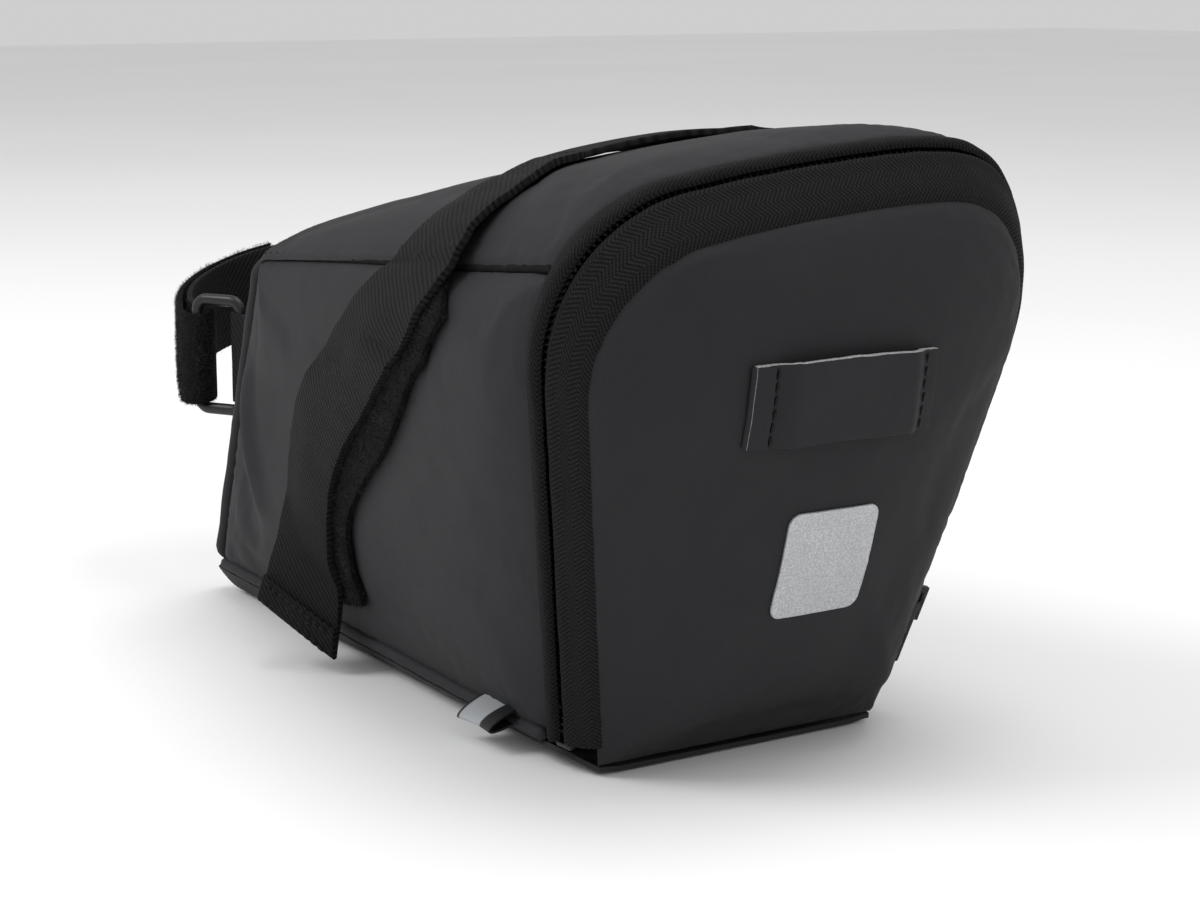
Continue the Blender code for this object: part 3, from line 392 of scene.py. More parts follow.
# ------------------------------------------------------------------ materials
class Graph:
    """A small hand for wiring one material's nodes."""

    def __init__(self, name: str, colour: Colour, roughness: float,
                 metallic: float = 0.0, **sockets: float) -> None:
        """Start a Principled material with its even values set.

        Args:
            name: material name.
            colour: base colour.
            roughness: base roughness.
            metallic: metallic value.
            sockets: other sockets, with _ for each space.
        """
        self.material = bpy.data.materials.new(name)
        self.material.use_nodes = True
        self.tree = self.material.node_tree
        self.shader = self.tree.nodes["Principled BSDF"]
        self.shader.inputs["Base Color"].default_value = (*colour, 1.0)
        self.shader.inputs["Roughness"].default_value = roughness
        self.shader.inputs["Metallic"].default_value = metallic
        for key, value in sockets.items():
            self.shader.inputs[key.replace("_", " ")].default_value = value
        self.coords = self.tree.nodes.new("ShaderNodeTexCoord")
        self.height = None

    def put(self, value, socket) -> None:
        """Link a socket, or set a plain value."""
        if isinstance(value, bpy.types.NodeSocket):
            self.tree.links.new(value, socket)
        elif value is not None:
            socket.default_value = value

    def math(self, kind: str, a, b=None, c=None):
        """One Math node's result."""
        node = self.tree.nodes.new("ShaderNodeMath")
        node.operation = kind
        for value, socket in zip((a, b, c), node.inputs):
            self.put(value, socket)
        return node.outputs[0]

    def split(self, source: str):
        """The X, Y and Z of Object or UV coordinates."""
        node = self.tree.nodes.new("ShaderNodeSeparateXYZ")
        self.put(self.coords.outputs[source], node.inputs[0])
        return node.outputs

    def noise(self, scale: float, detail: float = 3.0,
              source: str = "Object"):
        """A noise texture's value, with scale per metre."""
        node = self.tree.nodes.new("ShaderNodeTexNoise")
        self.put(self.coords.outputs[source], node.inputs["Vector"])
        node.inputs["Scale"].default_value = scale
        node.inputs["Detail"].default_value = detail
        return node.outputs["Fac"]

    def remap(self, value, low: float, high: float, out_low: float,
              out_high: float):
        """Stretch a value from one range to another."""
        node = self.tree.nodes.new("ShaderNodeMapRange")
        for item, socket in zip((value, low, high, out_low, out_high),
                                node.inputs):
            self.put(item, socket)
        return node.outputs[0]

    def blend(self, factor, a: Colour, b: Colour) -> None:
        """Colour the surface between a and b."""
        node = self.tree.nodes.new("ShaderNodeMix")
        node.data_type = "RGBA"
        self.put(factor, node.inputs[0])
        node.inputs[6].default_value = (*a, 1.0)
        node.inputs[7].default_value = (*b, 1.0)
        self.put(node.outputs[2], self.shader.inputs["Base Color"])

    def rough(self, value) -> None:
        """Vary the roughness."""
        self.put(value, self.shader.inputs["Roughness"])

    def bump(self, height, distance: float, strength: float = 1.0) -> None:
        """Raise the surface by a height in 0 to 1."""
        node = self.tree.nodes.new("ShaderNodeBump")
        node.inputs["Distance"].default_value = distance
        node.inputs["Strength"].default_value = strength
        self.put(height, node.inputs["Height"])
        if self.height is not None:
            self.put(self.height, node.inputs["Normal"])
        self.height = node.outputs[0]
        self.put(self.height, self.shader.inputs["Normal"])

    def wave(self, value, pitch: float):
        """A sine of a length in metres, from 0 to 1."""
        turn = self.math("MULTIPLY", value, 2 * math.pi / pitch)
        return self.math("MULTIPLY_ADD", self.math("SINE", turn), 0.5, 0.5)


@dataclass(frozen=True)
class CoatedFabric:
    """Matt charcoal fabric with a rubbery coating."""

    name: str = "coated_fabric"
    dark: Colour = (0.0210, 0.0212, 0.0235)
    light: Colour = (0.0240, 0.0243, 0.0268)
    roughness: float = 0.70

    def material(self) -> bpy.types.Material:
        """The finish as a node material."""
        g = Graph(self.name, self.dark, self.roughness,
                  Specular_IOR_Level=0.20)
        cloud = g.noise(26.0, 4.0)
        g.blend(g.remap(cloud, 0.35, 0.65, 0.0, 1.0), self.dark, self.light)
        fine = g.noise(2600.0, 2.0)
        g.rough(g.remap(g.noise(160.0, 4.0), 0.3, 0.7,
                        self.roughness - 0.025, self.roughness + 0.025))
        x, y, z = g.split("Object")
        weave = g.math("MULTIPLY", g.wave(g.math("ADD", x, y), 0.00052),
                       g.wave(z, 0.00052))
        g.bump(weave, 0.00003, 0.55)
        g.bump(fine, 0.00006, 0.55)
        g.bump(g.noise(210.0, 3.0), 0.00010, 0.3)
        return g.material


@dataclass(frozen=True)
class Herringbone:
    """Zip tape woven in chevrons along its length."""

    name: str = "zip_tape"
    dark: Colour = (0.0022, 0.0022, 0.0025)
    light: Colour = (0.0230, 0.0230, 0.0250)
    pitch: float = 0.00085
    stripe: float = 0.0019

    def material(self) -> bpy.types.Material:
        """The finish as a node material that follows the tape's map."""
        g = Graph(self.name, self.light, 0.85, Specular_IOR_Level=0.12)
        u, v, _ = g.split("UV")
        zigzag = g.math("PINGPONG", g.math("ADD", v, 0.05), self.stripe)
        ribs = g.wave(g.math("ADD", u, zigzag), self.pitch)
        threads = g.wave(g.math("SUBTRACT", g.math("MULTIPLY", u, 0.5),
                                zigzag), self.pitch * 0.55)
        both = g.math("MULTIPLY_ADD", threads, 0.3,
                      g.math("MULTIPLY", ribs, 0.7))
        fuzz = g.noise(3200.0, 2.0)
        g.blend(g.math("MULTIPLY", both, g.remap(fuzz, 0.3, 0.7, 0.5, 1.1)),
                self.dark, self.light)
        g.bump(both, 0.00022, 0.9)
        g.bump(fuzz, 0.00008, 0.5)
        return g.material


@dataclass(frozen=True)
class Webbing:
    """Black strap webbing with slanting ribs."""

    name: str = "webbing"
    dark: Colour = (0.0022, 0.0022, 0.0025)
    light: Colour = (0.0215, 0.0215, 0.0235)
    pitch: float = 0.00115
    slant: float = 0.62

    def material(self) -> bpy.types.Material:
        """The finish as a node material that follows the strap's map."""
        g = Graph(self.name, self.light, 0.8, Specular_IOR_Level=0.14)
        u, v, _ = g.split("UV")
        slope = g.math("MULTIPLY_ADD", v, self.slant, u)
        ribs = g.wave(slope, self.pitch)
        picks = g.wave(g.math("MULTIPLY_ADD", v, -1.9, u), self.pitch * 0.8)
        both = g.math("MULTIPLY_ADD", picks, 0.35,
                      g.math("MULTIPLY", ribs, 0.65))
        fuzz = g.noise(2400.0, 2.0)
        g.blend(g.math("MULTIPLY", both, g.remap(fuzz, 0.3, 0.7, 0.6, 1.1)),
                self.dark, self.light)
        g.bump(both, 0.00030, 0.85)
        g.bump(fuzz, 0.00010, 0.5)
        return g.material


@dataclass(frozen=True)
class Mottled:
    """A plain stuff with a grain: foam, pile, thread, plastic or metal."""

    name: str
    dark: Colour
    light: Colour
    roughness: float
    grain: float = 900.0
    depth: float = 0.00008
    metallic: float = 0.0
    specular: float = 0.4

    def material(self) -> bpy.types.Material:
        """The finish as a node material."""
        g = Graph(self.name, self.dark, self.roughness, self.metallic,
                  Specular_IOR_Level=self.specular)
        grain = g.noise(self.grain, 3.0)
        g.blend(g.remap(grain, 0.35, 0.65, 0.0, 1.0), self.dark, self.light)
        g.rough(g.remap(g.noise(self.grain * 0.21, 3.0), 0.3, 0.7,
                        self.roughness * 0.88,
                        min(self.roughness * 1.1, 1.0)))
        g.bump(grain, self.depth, 0.6)
        return g.material


@dataclass(frozen=True)
class BeadedFilm:
    """Silver reflective film with glass beads, each bead painted lighter at
    its middle as a painted glint.
    """

    name: str = "reflective_film"
    dark: Colour = (0.40, 0.41, 0.42)
    light: Colour = (0.62, 0.63, 0.64)

    def material(self) -> bpy.types.Material:
        """The finish as a node material."""
        g = Graph(self.name, self.light, 0.42, 0.25)
        beads = g.tree.nodes.new("ShaderNodeTexVoronoi")
        beads.inputs["Scale"].default_value = 2600.0
        g.put(g.coords.outputs["Object"], beads.inputs["Vector"])
        bead_dome_and_glint = g.remap(beads.outputs["Distance"], 0.1, 0.6, 1.0, 0.0)
        # Bead middles are painted lighter: painted glints over the bead grain;
        # the same mask also raises each bead.
        g.blend(g.math("MULTIPLY", bead_dome_and_glint,
                       g.remap(g.noise(240.0), 0.3, 0.7, 0.7, 1.1)),
                self.dark, self.light)
        g.rough(g.remap(g.noise(1500.0), 0.3, 0.7, 0.3, 0.55))
        g.bump(bead_dome_and_glint, 0.00005, 0.5)
        return g.material


@dataclass(frozen=True)
class TagRibbon:
    """A folded ribbon: a silver stripe between black edges."""

    name: str = "tag_ribbon"
    black: Colour = (0.008, 0.008, 0.009)
    silver: Colour = (0.46, 0.48, 0.50)

    def material(self) -> bpy.types.Material:
        """The finish as a node material that follows the ribbon's map."""
        g = Graph(self.name, self.silver, 0.5, 0.2)
        u, v, _ = g.split("UV")
        stripe = g.math("MULTIPLY", g.remap(u, 0.0032, 0.0036, 0.0, 1.0),
                        g.remap(u, 0.0110, 0.0114, 1.0, 0.0))
        weave = g.wave(g.math("ADD", u, v), 0.0006)
        g.blend(g.math("MULTIPLY", stripe,
                       g.remap(weave, 0.0, 1.0, 0.75, 1.0)),
                self.black, self.silver)
        g.bump(weave, 0.00008, 0.6)
        return g.material


class Palette:
    """Every finish, made once."""

    def __init__(self) -> None:
        """Make the node materials."""
        self.fabric = CoatedFabric().material()
        # The same coated fabric made darker for the rear flap and its lamp
        # loop: painted shade for the dimmer light on the rear.
        self.flap_fabric = CoatedFabric(
            "flap_fabric", (0.0185, 0.0187, 0.0206),
            (0.0205, 0.0207, 0.0228), 0.74).material()
        self.tape = Herringbone().material()
        self.webbing = Webbing().material()
        # Near-black finish of the top seam welts: painted seam shadow laid on
        # a real rolled seam.
        self.seam_shadow_welt = Mottled("woven_edge", (0.003, 0.003, 0.0035),
                               (0.009, 0.009, 0.010), 0.85, 1400.0,
                               specular=0.12).material()
        self.pile = Mottled("loop_pile", (0.002, 0.002, 0.0024),
                            (0.008, 0.008, 0.009), 0.95, 1900.0,
                            0.0003, specular=0.1).material()
        self.fibre = Mottled("pile_fibre", (0.004, 0.004, 0.0045),
                             (0.022, 0.022, 0.024), 0.75, 300.0,
                             specular=0.25).material()
        self.thread = Mottled("black_thread", (0.002, 0.002, 0.0024),
                              (0.009, 0.009, 0.010), 0.6, 3000.0,
                              specular=0.2).material()
        self.cut_edge = Mottled("cut_edge", (0.24, 0.245, 0.25),
                                (0.44, 0.445, 0.45), 0.8, 2200.0).material()
        self.backing = Mottled("strap_backing", (0.016, 0.016, 0.018),
                               (0.045, 0.045, 0.048), 0.7, 1500.0).material()
        self.plastic = Mottled("black_plastic", (0.005, 0.005, 0.0055),
                               (0.010, 0.010, 0.011), 0.36, 700.0,
                               0.00003).material()
        self.coil = Mottled("zip_coil", (0.004, 0.004, 0.0045),
                            (0.008, 0.008, 0.009), 0.4, 900.0,
                            0.00003).material()
        self.metal = Mottled("painted_metal", (0.018, 0.018, 0.02),
                             (0.04, 0.04, 0.043), 0.36, 800.0, 0.00003,
                             0.75).material()
        self.foam = Mottled("foam_board", (0.07, 0.07, 0.074),
                            (0.13, 0.13, 0.135), 0.9, 1300.0,
                            0.00025).material()
        self.board = Mottled("plastic_board", (0.50, 0.50, 0.48),
                             (0.66, 0.66, 0.63), 0.45, 260.0).material()
        self.liner = Mottled("liner_fabric", (0.12, 0.125, 0.13),
                             (0.20, 0.205, 0.21), 0.75, 1700.0,
                             0.0001).material()
        self.film = BeadedFilm().material()
        self.ribbon = TagRibbon().material()
        self.floor = Mottled("pale_floor", (0.90, 0.90, 0.90),
                             (0.92, 0.92, 0.92), 0.95, 3.0, 0.0,
                             specular=0.1).material()


# -------------------------------------------------------------------- makers
@dataclass(frozen=True)
class Cloth:
    """How one sewn panel is settled by cloth simulation.

    Args:
        shrink: negative values let the cloth grow and wrinkle.
        frames: simulated frames.
        cap: the furthest that a point may move.
        pressure: outward push.
        bending: how stiffly it bends.
        sink: the furthest that a point may move inward.
    """

    shrink: float = -0.02
    frames: int = 16
    cap: float = 0.0016
    pressure: float = 0.6
    bending: float = 6.0
    sink: float = 0.00025

    def settle(self, piece: Piece, held: list[float]) -> None:
        """Simulate the open sheet, apply it, and limit its travel.

        Args:
            piece: an open sheet at its real size.
            held: a pin weight for each vertex.
        """
        scale, mesh = CLOTH_SCALE, piece.data
        before = np.zeros(len(mesh.vertices) * 3, np.float64)
        mesh.vertices.foreach_get("co", before)
        mesh.vertices.foreach_set("co", before * scale)
        group = piece.vertex_groups.new(name="held")
        for i, weight in enumerate(held):
            if weight > 0:
                group.add([i], weight, "REPLACE")
        mod = piece.modifiers.new("cloth", "CLOTH")
        cloth = mod.settings
        cloth.quality, cloth.mass = 6, 0.3
        cloth.tension_stiffness = cloth.compression_stiffness = 12.0
        cloth.shear_stiffness = 8.0
        cloth.bending_stiffness = self.bending
        cloth.tension_damping = cloth.bending_damping = 2.0
        cloth.vertex_group_mass = "held"
        cloth.shrink_min = self.shrink
        cloth.use_pressure = self.pressure > 0
        cloth.uniform_pressure_force = self.pressure
        cloth.effector_weights.gravity = 0.0
        mod.point_cache.frame_start = 1
        mod.point_cache.frame_end = self.frames
        scene = bpy.context.scene
        for step in range(1, self.frames + 1):
            scene.frame_set(step)
        result = piece.evaluated_get(
            bpy.context.evaluated_depsgraph_get()).data
        after = np.zeros_like(before)
        result.vertices.foreach_get("co", after)
        piece.modifiers.remove(mod)
        piece.vertex_groups.clear()
        scene.frame_set(1)
        move = (after / scale - before).reshape(-1, 3)
        normals = np.zeros_like(before)
        mesh.vertices.foreach_get("normal", normals)
        normals = normals.reshape(-1, 3)
        depth = np.einsum("ij,ij->i", move, normals)
        move -= normals * np.minimum(depth + self.sink, 0.0)[:, None]
        size = np.linalg.norm(move, axis=1, keepdims=True)
        soft = self.cap * np.tanh(size / self.cap) / np.maximum(size, 1e-9)
        mesh.vertices.foreach_set(
            "co", (before.reshape(-1, 3) + move * soft).ravel())
        mesh.update()


def deselect() -> None:
    """Leave nothing selected, because an operator acts on all that is."""
    for other in list(bpy.context.selected_objects):
        other.select_set(False)


def active() -> Piece:
    """The object that the last operator made or changed."""
    return bpy.context.view_layer.objects.active


def choose(piece: Piece) -> None:
    """Select one piece and nothing else."""
    deselect()
    piece.select_set(True)
    bpy.context.view_layer.objects.active = piece


def apply_all(piece: Piece) -> None:
    """Apply every modifier of a piece."""
    choose(piece)
    for mod in list(piece.modifiers):
        bpy.ops.object.modifier_apply(modifier=mod.name)


def lay(name: str, cols: int, rows: int, surface: Surface,
        span: tuple[float, float], thickness: float = 0.0,
        core: Vector = CORE, cloth: Cloth | None = None, weld: bool = False,
        rim: bool = False, round_edge: float = 0.0) -> Piece:
    """Lay a grid on a surface, settle it, and give it its thickness.

    Args:
        name: piece name.
        cols: faces along u.
        rows: faces along v.
        surface: function of u and v, each 0 to 1.
        span: the sheet's flat length and width, for its map in metres.
        thickness: thickness grown towards the core, or 0 for a closed body.
        core: a point on the inner side.
        cloth: how the sheet is simulated, or None.
        weld: merge edges that meet.
        rim: give the cut edge the piece's second material.
        round_edge: bevel width of the sheet's outer edges.

    Returns:
        The finished piece.
    """
    deselect()
    bpy.ops.mesh.primitive_grid_add(x_subdivisions=cols, y_subdivisions=rows,
                                    size=1.0, calc_uvs=True)
    piece = active()
    piece.name = piece.data.name = name
    mesh = piece.data
    at = [(v.co.x + 0.5, v.co.y + 0.5) for v in mesh.vertices]
    for vert, (u, v) in zip(mesh.vertices, at):
        vert.co = surface(u, v)
    for loop in mesh.uv_layers.active.data:
        loop.uv = (loop.uv[0] * span[0], loop.uv[1] * span[1])
    facing = sum(f.area * f.normal.dot(f.center - core)
                 for f in mesh.polygons)
    if facing < 0:
        mesh.flip_normals()
    if cloth:
        held = [1.0 if min(u, 1 - u, v, 1 - v) < 0.012 else
                max(0.0, 1.0 - min(u, 1 - u, v, 1 - v) / 0.06) * 0.85
                for u, v in at]
        cloth.settle(piece, held)
    bm = bmesh.new()
    bm.from_mesh(mesh)
    if weld:
        bmesh.ops.remove_doubles(bm, verts=bm.verts, dist=0.00001)
    bm.normal_update()
    turn = sum(f.calc_area() * f.normal.dot(f.calc_center_median() - core)
               for f in bm.faces)
    if turn < 0:
        bmesh.ops.reverse_faces(bm, faces=bm.faces)
    bm.to_mesh(mesh)
    bm.free()
    if thickness:
        solid = piece.modifiers.new("thickness", "SOLIDIFY")
        solid.thickness, solid.offset = thickness, -1.0
        solid.material_offset_rim = 1 if rim else 0
    if round_edge:
        bevel = piece.modifiers.new("edge", "BEVEL")
        bevel.width, bevel.segments = round_edge, 2
        bevel.limit_method, bevel.angle_limit = "ANGLE", math.radians(55)
        bevel.use_clamp_overlap = True
    if rim:
        mesh.materials.append(None)
        mesh.materials.append(None)
    apply_all(piece)
    piece.data.shade_smooth()
    piece.data.set_sharp_from_angle(angle=math.radians(48))
    return piece


def dress(piece: Piece, material: bpy.types.Material, body: str,
          stands_for: Sequence[str] = (),
          edge: bpy.types.Material | None = None) -> Piece:
    """Give a piece its finish, its body and the nodes it stands for.

    Args:
        piece: a finished piece.
        material: its finish.
        body: the body it rides on.
        stands_for: nodes it replaces.
        edge: finish of its second slot.

    Returns:
        The piece.
    """
    if edge is not None and len(piece.data.materials) > 1:
        piece.data.materials[0], piece.data.materials[1] = material, edge
    else:
        piece.data.materials.clear()
        piece.data.materials.append(material)
    if body:
        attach(piece, body)
    if stands_for:
        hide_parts(*stands_for)
    LOG.info("%s: %d faces on %s", piece.name, len(piece.data.polygons),
             body or "two bodies")
    return piece


def sweep(name: str, line: Sequence[Vector], radius: Callable[[float], float],
          sides: int, closed: bool, squash: float = 1.0,
          up: Vector = Vector((0, 0, 1))) -> Piece:
    """A round bar along a line, closed on itself or with pinched ends."""
    n = len(line)

    def surface(u: float, v: float) -> Vector:
        i = round(u * (n - (0 if closed else 1)))
        p = line[i % n]
        a = line[(i + 1) % n] if closed or i < n - 1 else line[i]
        b = line[(i - 1) % n] if closed or i > 0 else line[i]
        along = (a - b).normalized()
        side = along.cross(up).normalized()
        top = side.cross(along)
        r = radius(u)
        if not closed and i in (0, n - 1):
            r = 0.0
        turn = 2 * math.pi * v
        return (p + side * r * math.cos(turn)
                + top * r * squash * math.sin(turn))
    piece = lay(name, n if closed else n - 1, sides, surface,
                (0.01 * n * 0.1, 0.006), weld=True)
    bm = bmesh.new()
    bm.from_mesh(piece.data)
    bmesh.ops.recalc_face_normals(bm, faces=bm.faces)
    bm.to_mesh(piece.data)
    bm.free()
    return piece


def from_arrays(name: str, points: np.ndarray, faces: list) -> Piece:
    """A mesh object from computed points and faces."""
    mesh = bpy.data.meshes.new(name)
    mesh.from_pydata(points.tolist(), [], faces)
    mesh.update()
    piece = bpy.data.objects.new(name, mesh)
    bpy.context.scene.collection.objects.link(piece)
    return piece


def fuzz(name: str, base: Piece, core: Vector, count: int, length: float,
         width: float, seed: int) -> Piece:
    """Thousands of tiny bent fibres that stand on a strip's outer face.

    Args:
        name: piece name.
        base: the strip.
        core: a point behind the strip.
        count: number of fibres.
        length: mean fibre length.
        width: fibre width at its root.
        seed: seed of the scatter.

    Returns:
        One mesh with every fibre.
    """
    mesh = base.data
    mesh.calc_loop_triangles()
    co = np.array([v.co[:] for v in mesh.vertices])
    tris = np.array([t.vertices[:] for t in mesh.loop_triangles])
    a, b, c = co[tris[:, 0]], co[tris[:, 1]], co[tris[:, 2]]
    normal = np.cross(b - a, c - a)
    area = np.linalg.norm(normal, axis=1)
    normal /= np.maximum(area, 1e-15)[:, None]
    facing = np.einsum("ij,ij->i", normal, (a + b + c) / 3 - np.array(core))
    weight = area * (facing > 0)
    rng = np.random.default_rng(seed)
    pick = rng.choice(len(tris), size=count, p=weight / weight.sum())
    r = rng.random((count, 2))
    over = r.sum(1) > 1
    r[over] = 1 - r[over]
    root = (a[pick] + (b - a)[pick] * r[:, :1] + (c - a)[pick] * r[:, 1:])
    n = normal[pick]
    wild = rng.normal(size=(count, 3))
    flat = wild - n * np.einsum("ij,ij->i", wild, n)[:, None]
    flat /= np.linalg.norm(flat, axis=1, keepdims=True)
    side = np.cross(n, flat)
    size = (length * rng.uniform(0.45, 1.25, count))[:, None]
    half = side * width / 2
    base_p = root - n * 0.00012
    mid = root + n * size * 0.5 + flat * size * 0.22
    tip = (root + n * size * rng.uniform(0.35, 0.8, (count, 1))
           + flat * size * 0.85)
    points = np.stack([base_p - half, base_p + half, mid + half * 0.8,
                       mid - half * 0.8, tip], axis=1).reshape(-1, 3)
    faces = []
    for i in range(count):
        k = 5 * i
        faces += [(k, k + 1, k + 2, k + 3), (k + 3, k + 2, k + 4)]
    return from_arrays(name, points, faces)


def stitches(name: str, places: Sequence[tuple[Vector, Vector, Vector]],
             length: float, width: float) -> Piece:
    """A row of small thread stitches, modelled once and copied.

    Args:
        name: piece name.
        places: middle, direction and outward normal of each stitch.
        length: stitch length.
        width: thread width.
    """
    deselect()
    bpy.ops.mesh.primitive_uv_sphere_add(segments=8, ring_count=6,
                                         radius=0.5)
    seed = active()
    co = np.array([v.co[:] for v in seed.data.vertices])
    faces = [tuple(p.vertices) for p in seed.data.polygons]
    bpy.data.objects.remove(seed)
    co = co[:, [2, 0, 1]] * np.array([length, width, width * 0.8])
    points, all_faces = [], []
    for at, along, out in places:
        x = along.normalized()
        z = (out - x * out.dot(x)).normalized()
        y = z.cross(x)
        turn = np.array([x, y, z])
        base = len(points) * len(co)
        points.append(co @ turn + np.array(at))
        all_faces += [tuple(i + base for i in f) for f in faces]
    piece = from_arrays(name, np.concatenate(points), all_faces)
    piece.data.shade_smooth()
    return piece


def softened(node: str, name: str, width: float, segments: int = 2) -> Piece:
    """A copy of a machined node with its sharp edges rounded.

    Args:
        node: the node to copy.
        name: piece name.
        width: bevel width.
        segments: bevel segments.
    """
    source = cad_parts[node]
    piece = source.copy()
    piece.data = source.data.copy()
    piece.parent = None
    piece.name = piece.data.name = name
    for key in list(piece.keys()):
        del piece[key]
    bpy.context.scene.collection.objects.link(piece)
    bm = bmesh.new()
    bm.from_mesh(piece.data)
    bmesh.ops.remove_doubles(bm, verts=bm.verts, dist=0.00001)
    bmesh.ops.dissolve_limit(bm, angle_limit=math.radians(1.0),
                             verts=bm.verts, edges=bm.edges)
    bm.to_mesh(piece.data)
    bm.free()
    bevel = piece.modifiers.new("edge", "BEVEL")
    bevel.width, bevel.segments = width, segments
    bevel.limit_method, bevel.angle_limit = "ANGLE", math.radians(40)
    apply_all(piece)
    piece.data.shade_smooth()
    piece.data.set_sharp_from_angle(angle=math.radians(50))
    return piece


# --------------------------------------------------------------- sub-assembly
@dataclass
class BodyPanels:
    """The sewn body: sides, top, front, foot and the rolled front seam."""

    palette: Palette
    panels: dict[str, Piece]
    skin: float = 0.0010
    roll_width: float = 0.0034
    roll_depth: float = 0.0013

    def pucker(self, along: float, gap: float, seed: float) -> float:
        """Small gathers that run out from a seam."""
        fade = math.exp(-gap / 0.0040)
        return (0.00016 * wander(along * 40.0, seed)
                + 0.00008 * wander(along * 110.0, seed + 7.0)) * fade

    def side_relief(self, s: float, t: float, hand: int) -> float:
        """The soft hollows and folds of a side panel."""
        lift = 0.0012 + 0.0005 * wander(s * 3.2, t * 2.4, 3.0 + hand)
        lift += 0.0009 * mound(s, t, 0.20, 0.60, 0.13, 0.35)
        lift += 0.0008 * mound(s, t, 0.16, 0.25, 0.12, 0.20)
        lift -= 0.0004 * mound(s, t, 0.30, 0.88, 0.06, 0.12)
        lift += 0.0022 * crease(s, t, (0.80, 0.26), (0.93, 0.66), 0.020)
        lift -= 0.0011 * crease(s, t, (0.86, 0.20), (0.99, 0.70), 0.030)
        lift -= 0.0005 * crease(s, t, (0.02, 0.06), (0.16, 0.10), 0.040)
        return lift

    def side(self, hand: Hand) -> None:
        """One side panel, turned in along its four seams."""
        sign, name = hand.value, hand.name.lower()
        long, tall = 0.133, 0.0856
        turns = ((0.0085, 0.0022), (0.0050, 0.0020), (0.0040, 0.0014),
                 (0.0045, 0.0020))

        def surface(u: float, v: float) -> Vector:
            s = 0.003 + (0.981 - 0.003) * dense(u)
            t = 0.006 + (0.992 - 0.006) * dense(v)
            gaps = ((s - 0.003) * long, (0.981 - s) * long,
                    (t - 0.006) * tall, (0.992 - t) * tall)
            lift = sum(roll(g, *turn) for g, turn in zip(gaps, turns))
            lift += self.pucker(t, gaps[0], 1.0) + self.pucker(
                t, gaps[1], 2.0)
            lift += self.pucker(s, gaps[2], 3.0) + self.pucker(
                s, gaps[3], 4.0)
            edge = smooth(min(gaps) / 0.010)
            lift += self.side_relief(s, t, sign) * edge
            return SHELL.side(s, t, sign, lift)
        piece = lay(f"{name}_side", 96, 64, surface, (long, tall), self.skin,
                    cloth=Cloth(shrink=-0.006, cap=0.0009))
        self.panels[f"{name}_side"] = piece
        dress(piece, self.palette.fabric, "bag",
              [f"{name}_side_panel"])

    def top(self) -> None:
        """The domed top panel, its long edges lapping the sides."""
        long, wide = 0.136, 0.090

        def surface(u: float, v: float) -> Vector:
            s = 0.003 + (0.978 - 0.003) * dense(v)
            b = -1.0 + 2.0 * dense(u, 0.66)
            gaps = ((s - 0.003) * long, (0.978 - s) * long,
                    (1 + b) * wide * 0.42, (1 - b) * wide * 0.42)
            lift = 0.0003 + sum(roll(g, self.roll_width, self.roll_depth)
                                for g in gaps)
            lift += self.pucker(b * 0.6, gaps[0], 5.0) + self.pucker(
                s, gaps[2], 6.0) + self.pucker(s, gaps[3], 7.0)
            edge = smooth(min(gaps) / 0.008)
            lift += edge * (0.0005 + 0.0006 * wander(s * 3.0, b * 2.2, 21.0)
                            - 0.0006 * mound(s, b, 0.34, -0.55, 0.13, 0.22)
                            + 0.0006 * crease(s, b, (0.12, -0.90),
                                              (0.28, -0.45), 0.05))
            return SHELL.top(s, b, lift)
        piece = lay("top", 84, 76, surface, (wide, long), self.skin,
                    cloth=Cloth(shrink=-0.006, cap=0.0009))
        self.panels["top"] = piece
        dress(piece, self.palette.fabric, "bag",
              ["top_panel"])

    def front(self) -> None:
        """The small front panel."""
        def surface(u: float, v: float) -> Vector:
            a, b = 0.062 + 0.876 * dense(u), 0.044 + 0.912 * dense(v)
            gaps = ((a - 0.062) * 0.052, (0.938 - a) * 0.052,
                    (b - 0.044) * 0.077, (0.956 - b) * 0.077)
            lift = sum(roll(g, 0.0028, 0.0010) for g in gaps)
            lift += self.pucker(a + b, min(gaps), 8.0)
            lift += 0.0005 * wander(a * 3.0, b * 3.0, 41.0)
            return SHELL.front(a, b, lift)
        piece = lay("front", 44, 56, surface, (0.048, 0.070), self.skin,
                    cloth=Cloth(cap=0.0010, frames=12))
        dress(piece, self.palette.fabric, "bag",
              ["front_panel"])

    def foot(self) -> None:
        """The foot: flat in the middle and turned up to its seam."""
        rear, front = 0.0768, -0.0820
        flat_front = -0.0760

        def surface(u: float, v: float) -> Vector:
            x = rear + (front - rear) * dense(v)
            b = -1.0 + 2.0 * dense(u, 0.8)
            wide, edge = SHELL.foot_edge(x)
            wide -= 0.0004
            rise = max(edge - 0.0016, 0.0)
            side = max((abs(b) - 0.80) / 0.20, 0.0)
            nose = max((flat_front - x) / (flat_front - front), 0.0)
            z = rise * min(max(side, nose), 1.0) ** 2
            z += 0.00025 * (1 + wander(x * 140.0, b * 3.0)) * smooth(
                side * 1.5 - 0.3)
            return Vector((x, b * wide, z))
        piece = lay("foot", 56, 90, surface, (0.064, 0.158), 0.0009,
                    core=Vector((0, 0, 0.05)))
        dress(piece, self.palette.fabric, "bag",
              ["bottom_panel"])

